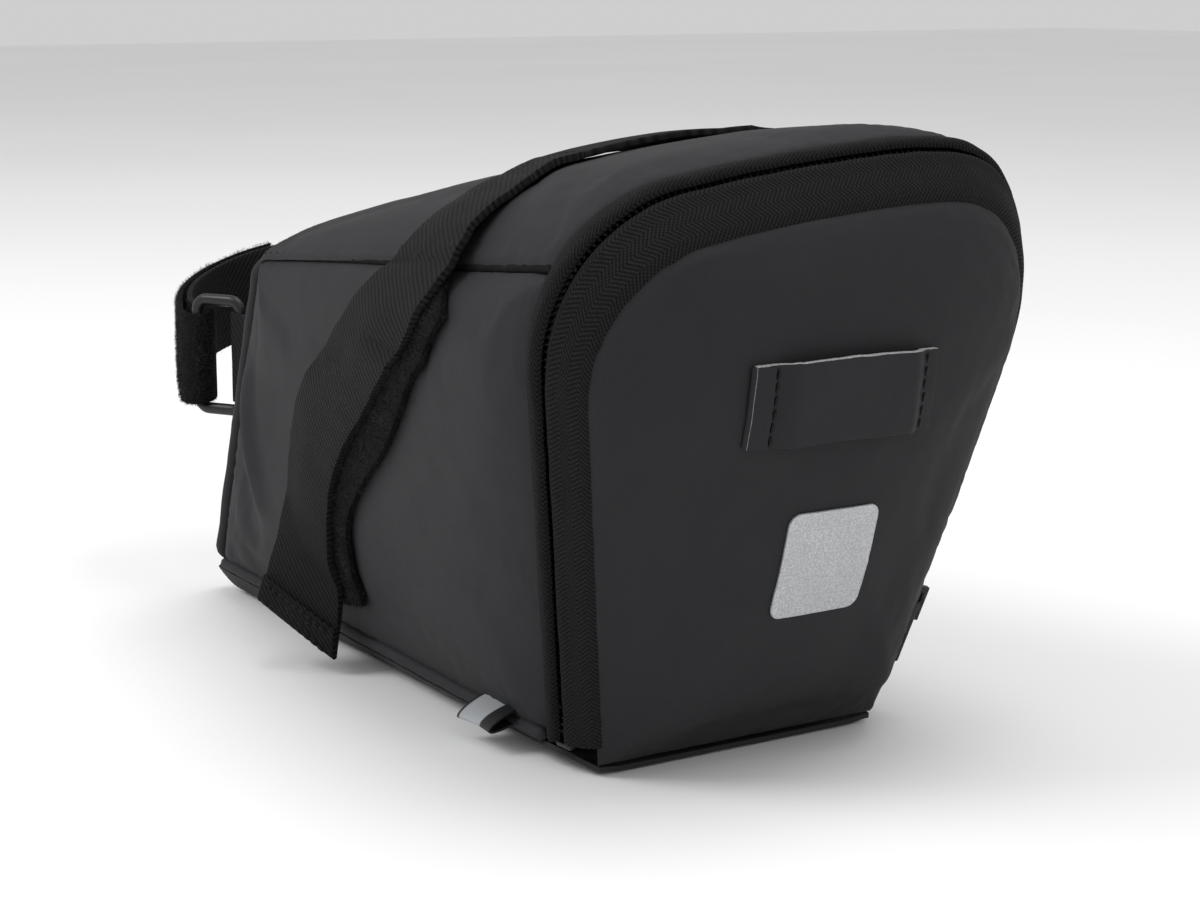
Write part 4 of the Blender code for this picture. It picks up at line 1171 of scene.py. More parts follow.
    def piping(self) -> None:
        """The rolled seam round the front panel, a little lumpy."""
        loop = []
        iu, iv = 0.0012 / 0.048, 0.0012 / 0.0773
        tu, tv = 0.0042 / 0.048, 0.0042 / 0.0773
        lo_u, hi_u, lo_v, hi_v = iu, 1 - iu, iv, 1 - iv
        corners = ((lo_u, lo_v, 1, 1, 180), (hi_u, lo_v, -1, 1, 270),
                   (hi_u, hi_v, -1, -1, 0), (lo_u, hi_v, 1, -1, 90))
        for k, (cu, cv, du, dv, start) in enumerate(corners):
            for i in range(9):
                a = math.radians(start + 90 * i / 8)
                loop.append((cu + du * tu + tu * math.cos(a),
                             cv + dv * tv + tv * math.sin(a)))
            nu, nv, ndu, ndv, nstart = corners[(k + 1) % 4]
            a = math.radians(nstart)
            end = (nu + ndu * tu + tu * math.cos(a),
                   nv + ndv * tv + tv * math.sin(a))
            last = loop[-1]
            for i in range(1, 26):
                loop.append((last[0] + (end[0] - last[0]) * i / 26,
                             last[1] + (end[1] - last[1]) * i / 26))
        n = Vector((-SHELL.up.z, 0, SHELL.up.x)).normalized()
        line = []
        for i, (u, v) in enumerate(loop):
            full = math.sin(math.pi * u) * math.sin(math.pi * v)
            p = SHELL.front(u, v) - n * (0.0014 + SHELL.front_belly * full)
            shake = 0.00035 * wander(i * 0.31, 2.0)
            line.append(p + n * shake + Vector((0, 0, shake * 0.7)))
        piece = sweep("front_seam", line, lambda u: 0.0016 + 0.00028 * wander(
            u * 47.0, 5.0), 12, True, up=n)
        dress(piece, self.palette.fabric, "bag",
              ["front_piping"])

    def seam_cords(self) -> None:
        """The narrow welts in the top and bottom side seams; the top welts are
        near-black, a painted seam shadow.
        """
        for hand in Hand:
            sign, name = hand.value, hand.name.lower()
            line = [SHELL.side(0.006 + 0.970 * i / 90, 1.0, sign, -0.0017)
                    for i in range(91)]
            welt = sweep(f"{name}_top_seam", line, lambda u: 0.0009 + 0.00012
                         * wander(u * 60.0, 3.0), 8, False)
            # The top welt's near-black finish is painted seam shadow.
            dress(welt, self.palette.seam_shadow_welt, "bag")
            line = [SHELL.side(0.004 + 0.972 * i / 90, 0.0, sign, -0.0007)
                    + Vector((0, 0, 0.0002 + 0.0002 * wander(i * 0.23)))
                    for i in range(91)]
            welt = sweep(f"{name}_foot_seam", line, lambda u: 0.0013
                         + 0.0002 * wander(u * 50.0, 8.0), 10, False)
            dress(welt, self.palette.fabric, "bag")

    def build(self) -> None:
        """Make every body panel."""
        for hand in Hand:
            self.side(hand)
        self.top()
        self.front()
        self.foot()
        self.piping()
        self.seam_cords()


@dataclass
class ZipBand:
    """The U of zip tape round the flap, with its coil, slider and pull."""

    palette: Palette
    slit: float = 0.0009
    count: int = 220

    def tape(self, name: str, node: str, body: str, flap: bool) -> None:
        """One woven tape, padded by the seam beneath it."""
        rows = SHELL.stations(self.count)

        def surface(u: float, v: float) -> Vector:
            i = round(u * self.count)
            band, line, border = rows[i]
            a, b = (line, border) if flap else (band, line)
            width = (b - a).length
            k0 = (self.slit / 2 / width) if flap else 0.0002 / width
            k1 = 1 - (-0.0006 / width if flap else self.slit / 2 / width)
            x = k0 + (k1 - k0) * v
            lo, hi = rows[max(i - 1, 0)], rows[min(i + 1, self.count)]
            along = (hi[1] - lo[1]).normalized()
            out = (border - band).cross(along).normalized()
            if out.dot(line - CORE) < 0:
                out.negate()
            at_slit = x * width if flap else (1 - x) * width
            ridge = 0.00055 * math.exp(-((at_slit - 0.0016) / 0.0013) ** 2)
            body_part = 0.0008 * math.sin(math.pi * min(max(x, 0), 1))
            lift = ridge + body_part + 0.00018 * wander(u * 60.0, x * 3.0)
            if flap:
                lift += roll((1 - x) * width, 0.0022, 0.0011)
            else:
                lift += roll(x * width, 0.0020, 0.0012)
            lift += roll(at_slit - self.slit / 2, 0.0007, 0.0005)
            return a.lerp(b, x) + out * lift
        piece = lay(name, self.count, 14, surface,
                    (0.272, 0.0092 if flap else 0.0056), 0.0007)
        dress(piece, self.palette.tape, body, [node])

    def coil(self, name: str, node: str, body: str, flap: bool) -> None:
        """Half of the coil chain, wound under the tape's edge."""
        rows = SHELL.stations(self.count)
        sign = 1.0 if flap else -1.0
        turns, steps = 210, 7
        line = []
        for j in range(turns * steps):
            k = j / (turns * steps - 1) * self.count
            i = min(int(k), self.count - 1)
            band, mid, border = (rows[i][m].lerp(rows[i + 1][m], k - i)
                                 for m in range(3))
            along = (rows[i + 1][1] - rows[i][1]).normalized()
            across = border - band
            across = (across - along * across.dot(along)).normalized()
            inward = along.cross(across).normalized()
            if inward.dot(CORE - mid) < 0:
                inward.negate()
            turn = 2 * math.pi * j / steps
            centre = mid + across * sign * 0.00105 + inward * 0.0019
            line.append(centre + across * 0.00075 * math.cos(turn)
                        + inward * 0.00048 * math.sin(turn))
        piece = sweep(name, line, lambda u: 0.00027, 5, False)
        dress(piece, self.palette.coil, body, [node])

    def hardware(self) -> None:
        """Slider, pull and stops, with their edges rounded."""
        metal = self.palette.metal
        dress(softened("zip_slider", "slider", 0.00028), metal,
              "zip_slider", ["zip_slider"])
        dress(softened("zip_pull", "pull", 0.00035), metal,
              "zip_pull", ["zip_pull"])
        for hand in Hand:
            node = f"{hand.name.lower()}_zip_stop"
            dress(softened(node, node + "_bar", 0.00025), metal,
                  "bag", [node])

    def build(self) -> None:
        """Make the tapes, coils and metal parts."""
        self.tape("body_tape", "body_zip_tape", "bag", False)
        self.tape("flap_tape", "flap_zip_tape", "rear_flap", True)
        self.coil("body_coil", "body_zip_coil", "bag", False)
        self.coil("flap_coil", "flap_zip_coil", "rear_flap", True)
        self.hardware()


@dataclass
class RearFlap:
    """The bulged flap, its lamp loop and its reflective patch."""

    palette: Palette
    face: Piece | None = None
    loop_z: float = 0.0662
    loop_left: float = -0.0200
    loop_right: float = 0.0172
    loop_high: float = 0.0136

    def relief(self, w: float, h: float) -> float:
        """The fold above the foot seam, and soft dents."""
        half = 0.031
        line = 0.0150 * max(1 - (w - 0.004) ** 2 / half ** 2, 0.0) ** 0.8
        under = 0.0024 * smooth(h / max(line, 0.0008)) * math.exp(
            -max(h - line, 0.0) / 0.018) if h > 0 else 0.0
        under -= 0.0036 * math.exp(-((h - line * 0.30) / 0.0050) ** 2)
        lift = under * smooth((half + 0.004 - abs(w)) / 0.008)
        lift += 0.0004 + 0.0004 * wander(w * 34.0, h * 26.0, 50.0)
        lift -= 0.0009 * mound(w, h, -0.037, 0.078, 0.008, 0.014)
        lift += 0.0010 * crease(w, h, (-0.034, 0.050), (-0.026, 0.080),
                                0.0040)
        lift += 0.0014 * crease(w, h, (0.034, 0.046), (0.022, 0.014), 0.006)
        lift -= 0.0010 * crease(w, h, (0.020, 0.036), (0.012, 0.012), 0.008)
        lift -= 0.0010 * crease(w, h, (-0.026, 0.030), (-0.030, 0.004),
                                0.005)
        return lift

    def skin(self) -> None:
        """The flap's outer fabric, turned in round its border."""
        rail = SHELL.border
        top_h = rail.ch
        reach = rail.cw + rail.radius

        def surface(u: float, v: float) -> Vector:
            a = -1.0 + 2.0 * dense(u, 0.6)
            a = math.sin(a * math.pi / 2) * 0.45 + a * 0.55
            b = dense(v, 0.6)
            full = rail.height_at(min(abs(a), 1.0) * reach)
            h = b * full
            side = rail.width_at(min(b * top_h, top_h))
            w = a * side
            r = SHELL.share(w, h)
            gap = max(1 - r, 0.0) * 0.040
            lift = roll(gap, 0.0032, 0.0016)
            lift += 0.0002 * wander(u * 30.0, v * 30.0) * math.exp(
                -gap / 0.004)
            lift += self.relief(w, h) * smooth(gap / 0.006)
            return SHELL.flap(w, h, lift)
        piece = self.face = lay("flap", 84, 84, surface, (0.08, 0.094), 0.0010,
                    cloth=Cloth(cap=0.0008, shrink=-0.004))
        # The flap takes the darker copy of the coated fabric, painted shade.
        dress(piece, self.palette.flap_fabric, "rear_flap",
              ["rear_flap_panel"])

    def on_face(self, y: float, z: float, lift: float) -> Vector:
        """The point on the finished flap at a rear-view place."""
        hit, at, normal, _ = self.face.ray_cast(Vector((0.3, y, z)),
                                                Vector((-1, 0, 0)))
        if not hit:
            return SHELL.flap(y, z - SHELL.border.hinge_z, lift)
        return at + Vector((1, 0, 0)).lerp(normal, 0.6) * lift

    def lamp_loop(self) -> None:
        """A folded strip of the coated fabric, bowed clear of the flap."""
        left, right = self.loop_left, self.loop_right
        wide = right - left

        def lifted(y: float, z: float, extra: float = 0.0) -> Vector:
            k = (y - left) / wide
            arch = smooth((k - 0.10) / 0.10) * smooth((0.93 - k) / 0.10)
            lift = 0.0013 + 0.0019 * arch + extra
            lift += 0.0003 * wander(y * 120.0, z * 90.0)
            return self.on_face(y, z, lift)

        def surface(u: float, v: float) -> Vector:
            y = left + wide * u
            z = (self.loop_z + self.loop_high * (v - 0.5)
                 + 0.0006 * math.sin(math.pi * u))
            return lifted(y, z)
        piece = lay("lamp_strip", 60, 12, surface, (wide, self.loop_high),
                    0.0012, rim=True, round_edge=0.0001)
        # The lamp strip also takes the flap's darker copy, painted shade.
        dress(piece, self.palette.flap_fabric, "rear_flap",
              ["lamp_loop"], edge=self.palette.cut_edge)

        def fold(u: float, v: float) -> Vector:
            turn = math.pi * u
            y = left + 0.0030 - 0.0036 * math.sin(turn * 0.5) ** 0.8
            z = self.loop_z + self.loop_high * (v - 0.5) * 0.99
            return lifted(y, z, 0.0007 - 0.0014 * u)
        flange = lay("lamp_strip_fold", 10, 6, fold,
                     (0.005, self.loop_high), 0.0009)
        # The fold is the same darker copy, painted shade.
        dress(flange, self.palette.flap_fabric, "rear_flap")
        rows = []
        for y in (-0.0162, 0.0146):
            for i in range(6):
                z = self.loop_z + self.loop_high * (i - 2.5) / 6.2
                p = lifted(y, z, 0.0001)
                rows.append((p, Vector((0.27, 0, 1)), Vector((1, 0, 0))))
        row = stitches("lamp_strip_stitches", rows, 0.0019, 0.00062)
        dress(row, self.palette.thread, "rear_flap")

    def patch(self) -> None:
        """A plain rounded square of reflective film."""
        half, radius = 0.0094, 0.0022

        def surface(u: float, v: float) -> Vector:
            x, y = (2 * u - 1) * half, (2 * v - 1) * half
            px, py = abs(x) - (half - radius), abs(y) - (half - radius)
            if px > 0 and py > 0:
                k = max(px, py) / math.hypot(px, py)
                x = math.copysign(half - radius + px * k, x)
                y = math.copysign(half - radius + py * k, y)
            return self.on_face(x + 0.0006, 0.0376 + y, 0.00055)
        piece = lay("reflector", 40, 40, surface, (0.019, 0.019), 0.0005,
                    round_edge=0.0001)
        dress(piece, self.palette.film, "rear_flap",
              ["reflective_patch"])

    def build(self) -> None:
        """Make the flap's outer pieces."""
        self.skin()
        self.lamp_loop()
        self.patch()


@dataclass
class RailStrap:
    """The rail strap, its two tails and their pile strips."""

    palette: Palette
    panels: dict[str, Piece]
    thickness: float = 0.0013
    mid_y: float = 0.018

    def clear(self, p: Vector, gap: float, under: Sequence[Piece],
              snap: bool = False) -> Vector:
        """Move a point out until it clears the pieces under it.

        Args:
            p: the point.
            gap: least distance to keep.
            under: finished pieces.
            snap: keep exactly the gap, from nearer or farther.
        """
        for piece in under:
            hit, at, normal, _ = piece.closest_point_on_mesh(p)
            if not hit:
                continue
            if normal.dot(at - CORE) < 0:
                continue
            away = (p - at).dot(normal)
            if snap or ((p - at).length < 0.004 and away < gap):
                p = p + normal * (gap - away)
        return p

    def least_gap(self, k: float, length: float) -> float:
        """Clearance under the strap's face: the pile adds to it lower."""
        return 0.0018 + 0.0015 * smooth((k * length - 0.014) / 0.010)

    def strip(self, name: str, rear: Callable[[float], Vector],
              front: Callable[[float], Vector], cols: int, lift: float,
              thickness: float, u0: float = 0.0, u1: float = 1.0,
              length: float = 0.13, trim: float = 0.0,
              shake: float = 0.00035, seed: float = 0.0,
              under: Sequence[Piece] = ()) -> Piece:
        """A strap between two edge lines.

        Args:
            name: piece name.
            rear: rear edge, from 0 to 1.
            front: front edge, from 0 to 1.
            cols: faces along it.
            lift: offset away from the bag.
            thickness: strap thickness.
            u0: where it starts.
            u1: where it ends.
            length: its length, for the weave.
            trim: how much narrower it is at each edge.
            shake: size of its small waves.
            seed: which waves.
            under: finished pieces that it must clear.
        """
        def surface(u: float, v: float) -> Vector:
            k = u0 + (u1 - u0) * u
            a, b = rear(k), front(k)
            e = 0.004
            along = ((rear(k + e) + front(k + e))
                     - (rear(k - e) + front(k - e))).normalized()
            across = b - a
            wide = across.length
            n = along.cross(across).normalized()
            middle = (a + b) / 2
            if n.dot(middle - CORE) < 0:
                n.negate()
            x = (trim / wide) + (1 - 2 * trim / wide) * v
            crown = 0.0005 * math.sin(math.pi * v)
            wave = shake * wander(k * 9.0, v * 2.0, seed)
            wave += shake * 0.8 * wander(k * 24.0, v * 1.2, seed + 4.0)
            p = self.clear(a.lerp(b, x), self.least_gap(k, length), under)
            return p + n * (lift + crown + wave)
        return lay(name, cols, 12, surface,
                   (length * abs(u1 - u0), STRAP_WIDTH), thickness,
                   round_edge=0.0003)

    def edges(self, sign: int) -> tuple[Callable, Callable]:
        """The rear and front edge lines of one tail."""
        top = SHELL.over_top
        up = (1.3, 1.5, 1.7) if sign < 0 else (3.9, 3.2, 2.2)
        rear = [top(0.0558, sign * 0.018, up[0] * MM),
                top(0.0566, sign * 0.028, up[1] * MM),
                top(0.0572, sign * 0.0365, up[2] * MM)]
        front = [top(0.0362, sign * 0.018, up[0] * MM),
                 top(0.0370, sign * 0.0250, up[1] * MM),
                 top(0.0374, sign * 0.0315, up[2] * MM)]
        rear += [Vector((x * MM, -sign * y * MM, z * MM)) for x, y, z in (
            (57.0, -44.3, 88.8), (53.1, -46.7, 80.8), (46.3, -46.6, 73.3),
            (36.0, -44.7, 65.1), (24.2, -42.3, 56.4), (11.6, -39.9, 47.3),
            (2.6, -37.7, 37.6), (-1.7, -36.2, 28.4), (-4.1, -35.4, 19.2),
            (-5.2, -35.2, 10.6), (-6.4, -35.6, 2.4))]
        front += [Vector((x * MM, -sign * y * MM, z * MM)) for x, y, z in (
            (36.8, -37.2, 92.4), (34.5, -40.2, 88.0), (30.5, -41.6, 84.0),
            (22.5, -41.6, 78.0), (10.0, -40.6, 69.0), (-2.5, -38.3, 60.6),
            (-12.5, -37.4, 50.0), (-18.6, -37.6, 38.6),
            (-22.0, -38.6, 27.8), (-22.4, -41.4, 18.9),
            (-20.3, -44.6, 13.0))]
        return spline(rear), spline(front)

    def middle(self) -> None:
        """The part across the top, a little slack on the right."""
        def edge(x: float) -> Callable[[float], Vector]:
            pts = []
            for i in range(9):
                y = -self.mid_y + 2 * self.mid_y * i / 8
                lift = float(np.interp(y, (-0.018, -0.004, 0.010, 0.018),
                                       (1.3, 1.6, 3.3, 3.9)))
                pts.append(SHELL.over_top(x, y, lift * MM))
            return spline(pts)
        piece = self.strip("strap_middle", edge(0.0558), edge(0.0362),
                           40, 0.0, self.thickness, length=0.013,
                           shake=0.0, under=[self.panels["top"]])
        dress(piece, self.palette.webbing, "bag", ["rail_strap"])

    def tail(self, hand: Hand) -> None:
        """One free tail, with its backing, hem and stitches."""
        sign, name = hand.value, hand.name.lower()
        rear, front = self.edges(sign)
        body = f"{name}_tail"
        under = [self.panels[k] for k in ("top", f"{name}_side")]
        main = self.strip(f"{name}_tail_webbing", rear, front, 150, 0.0,
                          self.thickness, shake=0.0004, seed=sign * 3.0,
                          under=under)
        dress(main, self.palette.webbing, "",
              [f"{name}_strap_tail"])
        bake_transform(main)
        back = self.strip(f"{name}_tail_backing", rear, front, 110, -0.0014,
                          0.0007, 0.40, 0.985, trim=0.0006, seed=sign * 3.0,
                          under=under)
        dress(back, self.palette.backing, body)
        hem = self.strip(f"{name}_tail_hem", rear, front, 10, 0.0011,
                         0.0011, 0.957, 0.999, seed=sign * 3.0,
                         under=under)
        dress(hem, self.palette.webbing, body)
        places = []
        for k0, v0, k1, v1 in ((0.962, 0.08, 0.962, 0.92),
                               (0.992, 0.08, 0.992, 0.92),
                               (0.962, 0.08, 0.992, 0.92),
                               (0.962, 0.92, 0.992, 0.08)):
            for i in range(9):
                x = (i + 0.5) / 9
                k, v = k0 + (k1 - k0) * x, v0 + (v1 - v0) * x
                p = self.clear(rear(k).lerp(front(k), v), 0.0033, under)
                q = p + (rear(k1).lerp(front(k1), v1)
                         - rear(k0).lerp(front(k0), v0))
                across = front(k) - rear(k)
                along = rear(k) - rear(k - 0.01)
                n = along.cross(across).normalized()
                if n.dot(p - CORE) < 0:
                    n.negate()
                places.append((p + n * 0.0017, q - p, n))
        row = stitches(f"{name}_tail_stitches", places, 0.0017, 0.0005)
        dress(row, self.palette.thread, body)

    def pile(self, hand: Hand) -> None:
        """The sewn pile strip under one tail, and its loops."""
        sign, name = hand.value, hand.name.lower()
        route = spline([(s, t, 0.0) for s, t in (
            (0.248, 0.975), (0.283, 0.92), (0.322, 0.84), (0.358, 0.75),
            (0.405, 0.65), (0.476, 0.54), (0.528, 0.43), (0.545, 0.32),
            (0.532, 0.21), (0.518, 0.10))])
        long, tall = 0.133, 0.0856

        def surface(u: float, v: float) -> Vector:
            k = 0.004 + 0.992 * u
            a, b = route(k + 0.004), route(k - 0.004)
            along = Vector(((a.x - b.x) * long, (a.y - b.y) * tall))
            along.normalize()
            off = 0.0100 * (2 * v - 1)
            mid = route(k)
            s = mid.x + along.y * off / long
            t = min(mid.y - along.x * off / tall, 0.992)
            lift = 0.0016 + 0.0002 * wander(k * 20.0, v * 3.0)
            return self.clear(SHELL.side(s, t, sign, 0.006), lift, [side],
                              True)
        side = self.panels[f"{name}_side"]
        piece = lay(f"{name}_pile", 80, 10, surface, (0.10, 0.020), 0.0011,
                    round_edge=0.0003)
        self.panels[f"{name}_pile"] = piece
        dress(piece, self.palette.pile, "bag",
              [f"{name}_pile_strip"])
        loops = fuzz(f"{name}_pile_loops", piece, CORE, 9000, 0.0011,
                     0.00009, 11 + sign)
        dress(loops, self.palette.fibre, "bag")

    def build(self) -> None:
        """Make the strap and what it grips."""
        self.middle()
        for hand in Hand:
            self.pile(hand)
            self.tail(hand)


@dataclass
class PostStrap:
    """The seatpost strap, its ring, its tab and its free tail."""

    palette: Palette
    radius: float = 0.0178
    tilt: float = 0.36
    stretch: float = 0.26
    width: float = STRAP_WIDTH
    thickness: float = 0.0013
    ring_angle: float = math.radians(-118)

    @property
    def centre(self) -> Vector:
        """Middle of the loop."""
        z = 0.0575
        k = (z - SHELL.front_bottom.z) / SHELL.up.z
        return Vector((SHELL.front_bottom.x + SHELL.up.x * k - 0.0385, 0.0,
                       z))

    def point(self, angle: float, radius: float) -> Vector:
        """A point of the loop: 0 is forward, positive is the right."""
        y = radius * math.sin(angle)
        ahead = math.cos(angle)
        ahead *= 1.0 + self.stretch * max(ahead, 0.0)
        return self.centre + Vector((-radius * ahead, y, self.tilt * y))

    def front_x(self, z: float, lift: float) -> float:
        """Place along X of the front panel at a height, lifted off it."""
        k = (z - SHELL.front_bottom.z) / SHELL.up.z
        n = Vector((-SHELL.up.z, 0, SHELL.up.x)).normalized()
        return SHELL.front_bottom.x + SHELL.up.x * k + n.x * lift

    def ribbon(self, name: str, line: Callable[[float], Vector],
               across: Callable[[float], Vector], cols: int, length: float,
               core: Vector, seed: float) -> Piece:
        """A strap of even width along a line."""
        e = 0.005

        def normal(u: float, side: Vector) -> Vector:
            along = (line(min(u + e, 1)) - line(max(u - e, 0))).normalized()
            return along.cross(side).normalized()
        facing = normal(0.5, across(0.5)).dot(line(0.5) - core)

        def surface(u: float, v: float) -> Vector:
            side = across(u)
            n = normal(u, side) * math.copysign(1.0, facing)
            wave = 0.0003 * wander(u * 8.0, v * 2.0, seed)
            return (line(u) + side * self.width * (v - 0.5)
                    + n * (wave + self.thickness))
        return lay(name, cols, 12, surface, (length, self.width),
                   self.thickness, core=core, round_edge=0.0003)

    def loop(self) -> None:
        """The strap round the seatpost, from its flange to the ring."""
        angles = [math.radians(100 - 201 * i / 17) for i in range(18)]
        path = [self.point(a, self.radius) for a in angles]
        z = path[0].z
        root = Vector((self.front_x(z, 0.0020 + 0.0009 + 0.0016),
                       self.radius * 0.92, z))
        lead = path[0].lerp(root, 0.5) + Vector((0, 0.0012, 0))
        line = spline([root, lead] + path)
        lean = SHELL.up.normalized()

        def across(u: float) -> Vector:
            return lean.lerp(Vector((0, 0, 1)),
                             smooth(u / 0.2)).normalized()
        piece = self.ribbon("post_webbing", line, across, 120, 0.092,
                            self.centre, 1.0)
        dress(piece, self.palette.webbing, "bag", ["post_strap"])
        hair = fuzz("post_webbing_pile", piece, self.centre, 5200, 0.0009,
                    0.00008, 31)
        dress(hair, self.palette.fibre, "bag")

    def flanges(self) -> None:
        """The sewn flange on the right and the ring's tab on the left."""
        y0 = self.radius * 0.92
        z = self.centre.z + self.tilt * y0

        def surface(u: float, v: float) -> Vector:
            zz = z + self.width * (v - 0.5)
            return Vector((self.front_x(zz, 0.0020 + 0.0009 + 0.0010),
                           y0 - 0.0105 + 0.0150 * u, zz))
        piece = lay("post_flange", 18, 16, surface, (0.015, 0.020), 0.0010,
                    round_edge=0.0002)
        dress(piece, self.palette.webbing, "bag",
              ["post_strap_root"])
        at, _, along = self.ring_place()
        start = at - along * (0.0090 / 2 - 0.0002)
        end = Vector((self.front_x(at.z - 0.0022, 0.0031),
                      start.y * 0.80 + 0.0020, at.z - 0.0024))
        bow = start.lerp(end, 0.5) + Vector((0, -0.0010, 0))
        line = spline([start, bow, end])

        def across(u: float) -> Vector:
            return Vector((0, 0, 1)).lerp(SHELL.up.normalized(),
                                          smooth(u)).normalized()
        tab = self.ribbon("ring_webbing", line, across, 30, 0.014,
                          Vector((start.x, 0.02, start.z)), 5.0)
        dress(tab, self.palette.webbing, "bag", ["ring_tab"])

    def ring_place(self) -> tuple[Vector, Vector, Vector]:
        """Middle and axes of the plastic ring."""
        a = self.ring_angle
        return (self.point(a, self.radius + 0.0032),
                Vector((-math.cos(a), math.sin(a), 0)),
                Vector((math.sin(a), math.cos(a), 0)))

    def ring(self) -> None:
        """The rectangular plastic ring, bent from a round bar."""
        at, _, along = self.ring_place()
        up = Vector((0, 0, 1))
        half_h, half_w, r = 0.0121, 0.0058, 0.0026
        line = []
        for sx, sz, start in ((1, 1, 0), (-1, 1, 90), (-1, -1, 180),
                              (1, -1, 270)):
            for i in range(9):
                a = math.radians(start + 90 * i / 8)
                line.append(at + along * (sx * (half_w - r)
                                          + r * math.cos(a))
                            + up * (sz * (half_h - r) + r * math.sin(a)))
        full = []
        for i, p in enumerate(line):
            q = line[(i + 1) % len(line)]
            steps = max(int((q - p).length / 0.0012), 1)
            full += [p.lerp(q, j / steps) for j in range(steps)]
        normal = along.cross(up).normalized()
        piece = sweep("ring_bar", full, lambda u: 0.0013, 14, True,
                      squash=0.85, up=normal)
        dress(piece, self.palette.plastic, "strap_ring",
              ["post_strap_ring"])

    def tail(self) -> None:
        """The free tail, folded through the ring and laid on the loop."""
        bar = self.ring_angle + 0.245
        mid = self.radius + 0.0032
        far, near = mid + 0.0017, self.radius + self.thickness + 0.0010
        pts = [self.point(bar + a, r) for a, r in (
            (0.075, mid - 0.0017), (0.0, mid - 0.0019),
            (-0.075, mid - 0.0010), (-0.090, mid + 0.0003),
            (-0.060, mid + 0.0013))]
        for i in range(15):
            a = bar + 0.01 + 2.33 * i / 14
            ease = smooth(i / 4)
            pts.append(self.point(a, far + (near - far) * ease))
        line = spline(pts)
        piece = self.ribbon("post_tail_webbing", line,
                            lambda u: Vector((0, 0, 1)), 90, 0.045,
                            self.centre, 9.0)
        dress(piece, self.palette.pile, "post_strap_tail",
              ["post_strap_tail"])
        hair = fuzz("post_tail_pile", piece, self.centre, 9500, 0.0010,
                    0.00009, 33)
        dress(hair, self.palette.fibre, "post_strap_tail")

    def build(self) -> None:
        """Make the seatpost strap."""
        self.loop()
        self.flanges()
        self.ring()
        self.tail()


@dataclass
class Inside:
    """What shows when the flap is open, and the small side tag."""

    palette: Palette

    def boards(self) -> None:
        """Give the boards and linings their own finishes."""
        for node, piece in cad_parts.items():
            if node.endswith("_board"):
                stiff = node in ("bottom_board", "flap_board")
                material = self.palette.board if stiff else self.palette.foam
            elif node.endswith("_lining"):
                material = self.palette.liner
            else:
                continue
            piece.data.materials.clear()
            piece.data.materials.append(material)
            piece.data.shade_smooth()
            piece.data.set_sharp_from_angle(angle=math.radians(40))

    def tag(self) -> None:
        """The ribbon folded into the left bottom seam."""
        x0 = SHELL.band.hinge_x - 0.0280
        wide, edge = SHELL.foot_edge(x0)

        def surface(u: float, v: float) -> Vector:
            x = x0 + 0.0060 - 0.0120 * u
            w, e = SHELL.foot_edge(x)
            reach = 0.0062
            turn = 2 * v - 1
            out = reach * math.cos(turn * math.pi / 2) ** 0.7
            side = 0.0017 * math.sin(turn * math.pi / 2)
            curl = 0.0005 * math.sin(3.0 * u + 0.5)
            return Vector((x, -w - 0.0002 - out * 0.93 - side * 0.37,
                           e + 0.0017 - out * 0.30 - side * 0.9
                           + curl * out / reach))
        piece = lay("tag_ribbon", 24, 24, surface, (0.012, 0.016), 0.00035,
                    core=Vector((x0, -wide - 0.004, edge - 0.002)))
        dress(piece, self.palette.ribbon, "bag",
              ["side_tag"])

    def build(self) -> None:
        """Dress the inside and make the tag."""
        self.boards()
        self.tag()


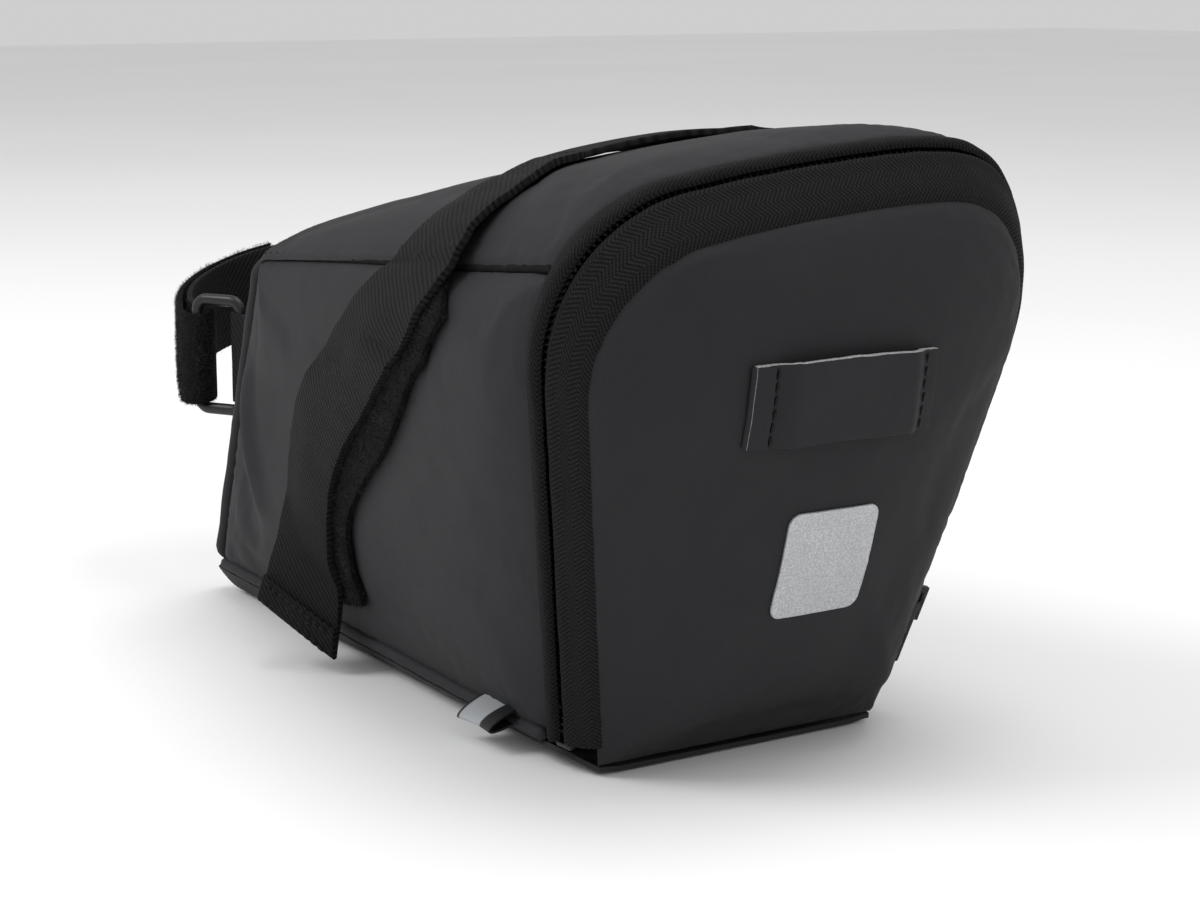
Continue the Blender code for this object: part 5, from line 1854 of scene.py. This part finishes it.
@dataclass
class Studio:
    """Pale floor, soft lights and the camera."""

    palette: Palette
    azimuth: float = math.radians(56.0)
    elevation: float = math.radians(10.5)
    distance: float = 0.448
    target: Vector = Vector((0.06274, -0.01992, 0.05293))

    def floor(self) -> None:
        """A wide pale floor just under the foot."""
        deselect()
        bpy.ops.mesh.primitive_plane_add(size=8.0,
                                         location=(0.0, 0.0, -0.0004))
        piece = active()
        piece.name = "floor"
        bpy.ops.object.transform_apply(location=True, scale=True)
        piece.data.materials.append(self.palette.floor)

    def lamp(self, name: str, at: tuple[float, float, float], size: float,
             power: float, tall: float | None = None) -> None:
        """One soft rectangular lamp that looks at the bag."""
        light = bpy.data.lights.new(name, "AREA")
        light.shape = "RECTANGLE"
        light.size, light.size_y = size, tall or size
        light.energy = power
        lamp = bpy.data.objects.new(name, light)
        lamp.location = at
        aim = Vector((0.0, 0.0, 0.05)) - Vector(at)
        lamp.rotation_mode = "QUATERNION"
        lamp.rotation_quaternion = aim.to_track_quat("-Z", "Y")
        bpy.context.scene.collection.objects.link(lamp)

    def build(self) -> None:
        """Set the stage."""
        self.floor()
        world = bpy.data.worlds.new("studio")
        world.use_nodes = True
        back = world.node_tree.nodes["Background"]
        back.inputs["Color"].default_value = (1.0, 1.0, 1.0, 1.0)
        back.inputs["Strength"].default_value = 0.62
        bpy.context.scene.world = world
        bpy.context.scene.view_settings.view_transform = "Standard"
        self.lamp("key_light", (-0.45, -0.95, 1.05), 0.6, 7.5)
        self.lamp("top_light", (0.10, 0.20, 1.30), 0.8, 6.5)
        self.lamp("rear_light", (1.15, -0.10, 0.75), 0.6, 1.8)
        data = bpy.data.cameras.new("camera")
        data.sensor_width, data.lens = 36.0, 78.0
        data.clip_start = 0.01
        camera = bpy.data.objects.new("camera", data)
        a, e = self.azimuth, self.elevation
        out = Vector((math.sin(a) * math.cos(e), -math.cos(a) * math.cos(e),
                      math.sin(e)))
        camera.location = self.target + out * self.distance
        camera.rotation_mode = "QUATERNION"
        camera.rotation_quaternion = (-out).to_track_quat("-Z", "Y")
        bpy.context.scene.collection.objects.link(camera)
        bpy.context.scene.camera = camera


def main() -> None:
    """Build the bag and the stage, in order."""
    logging.basicConfig(level=logging.INFO)
    deselect()
    palette = Palette()
    Studio(palette).build()
    panels: dict[str, Piece] = {}
    for part in (BodyPanels(palette, panels), ZipBand(palette),
                 RearFlap(palette), RailStrap(palette, panels),
                 PostStrap(palette), Inside(palette)):
        part.build()
    bpy.context.view_layer.update()


if __name__ == "__main__":
    main()
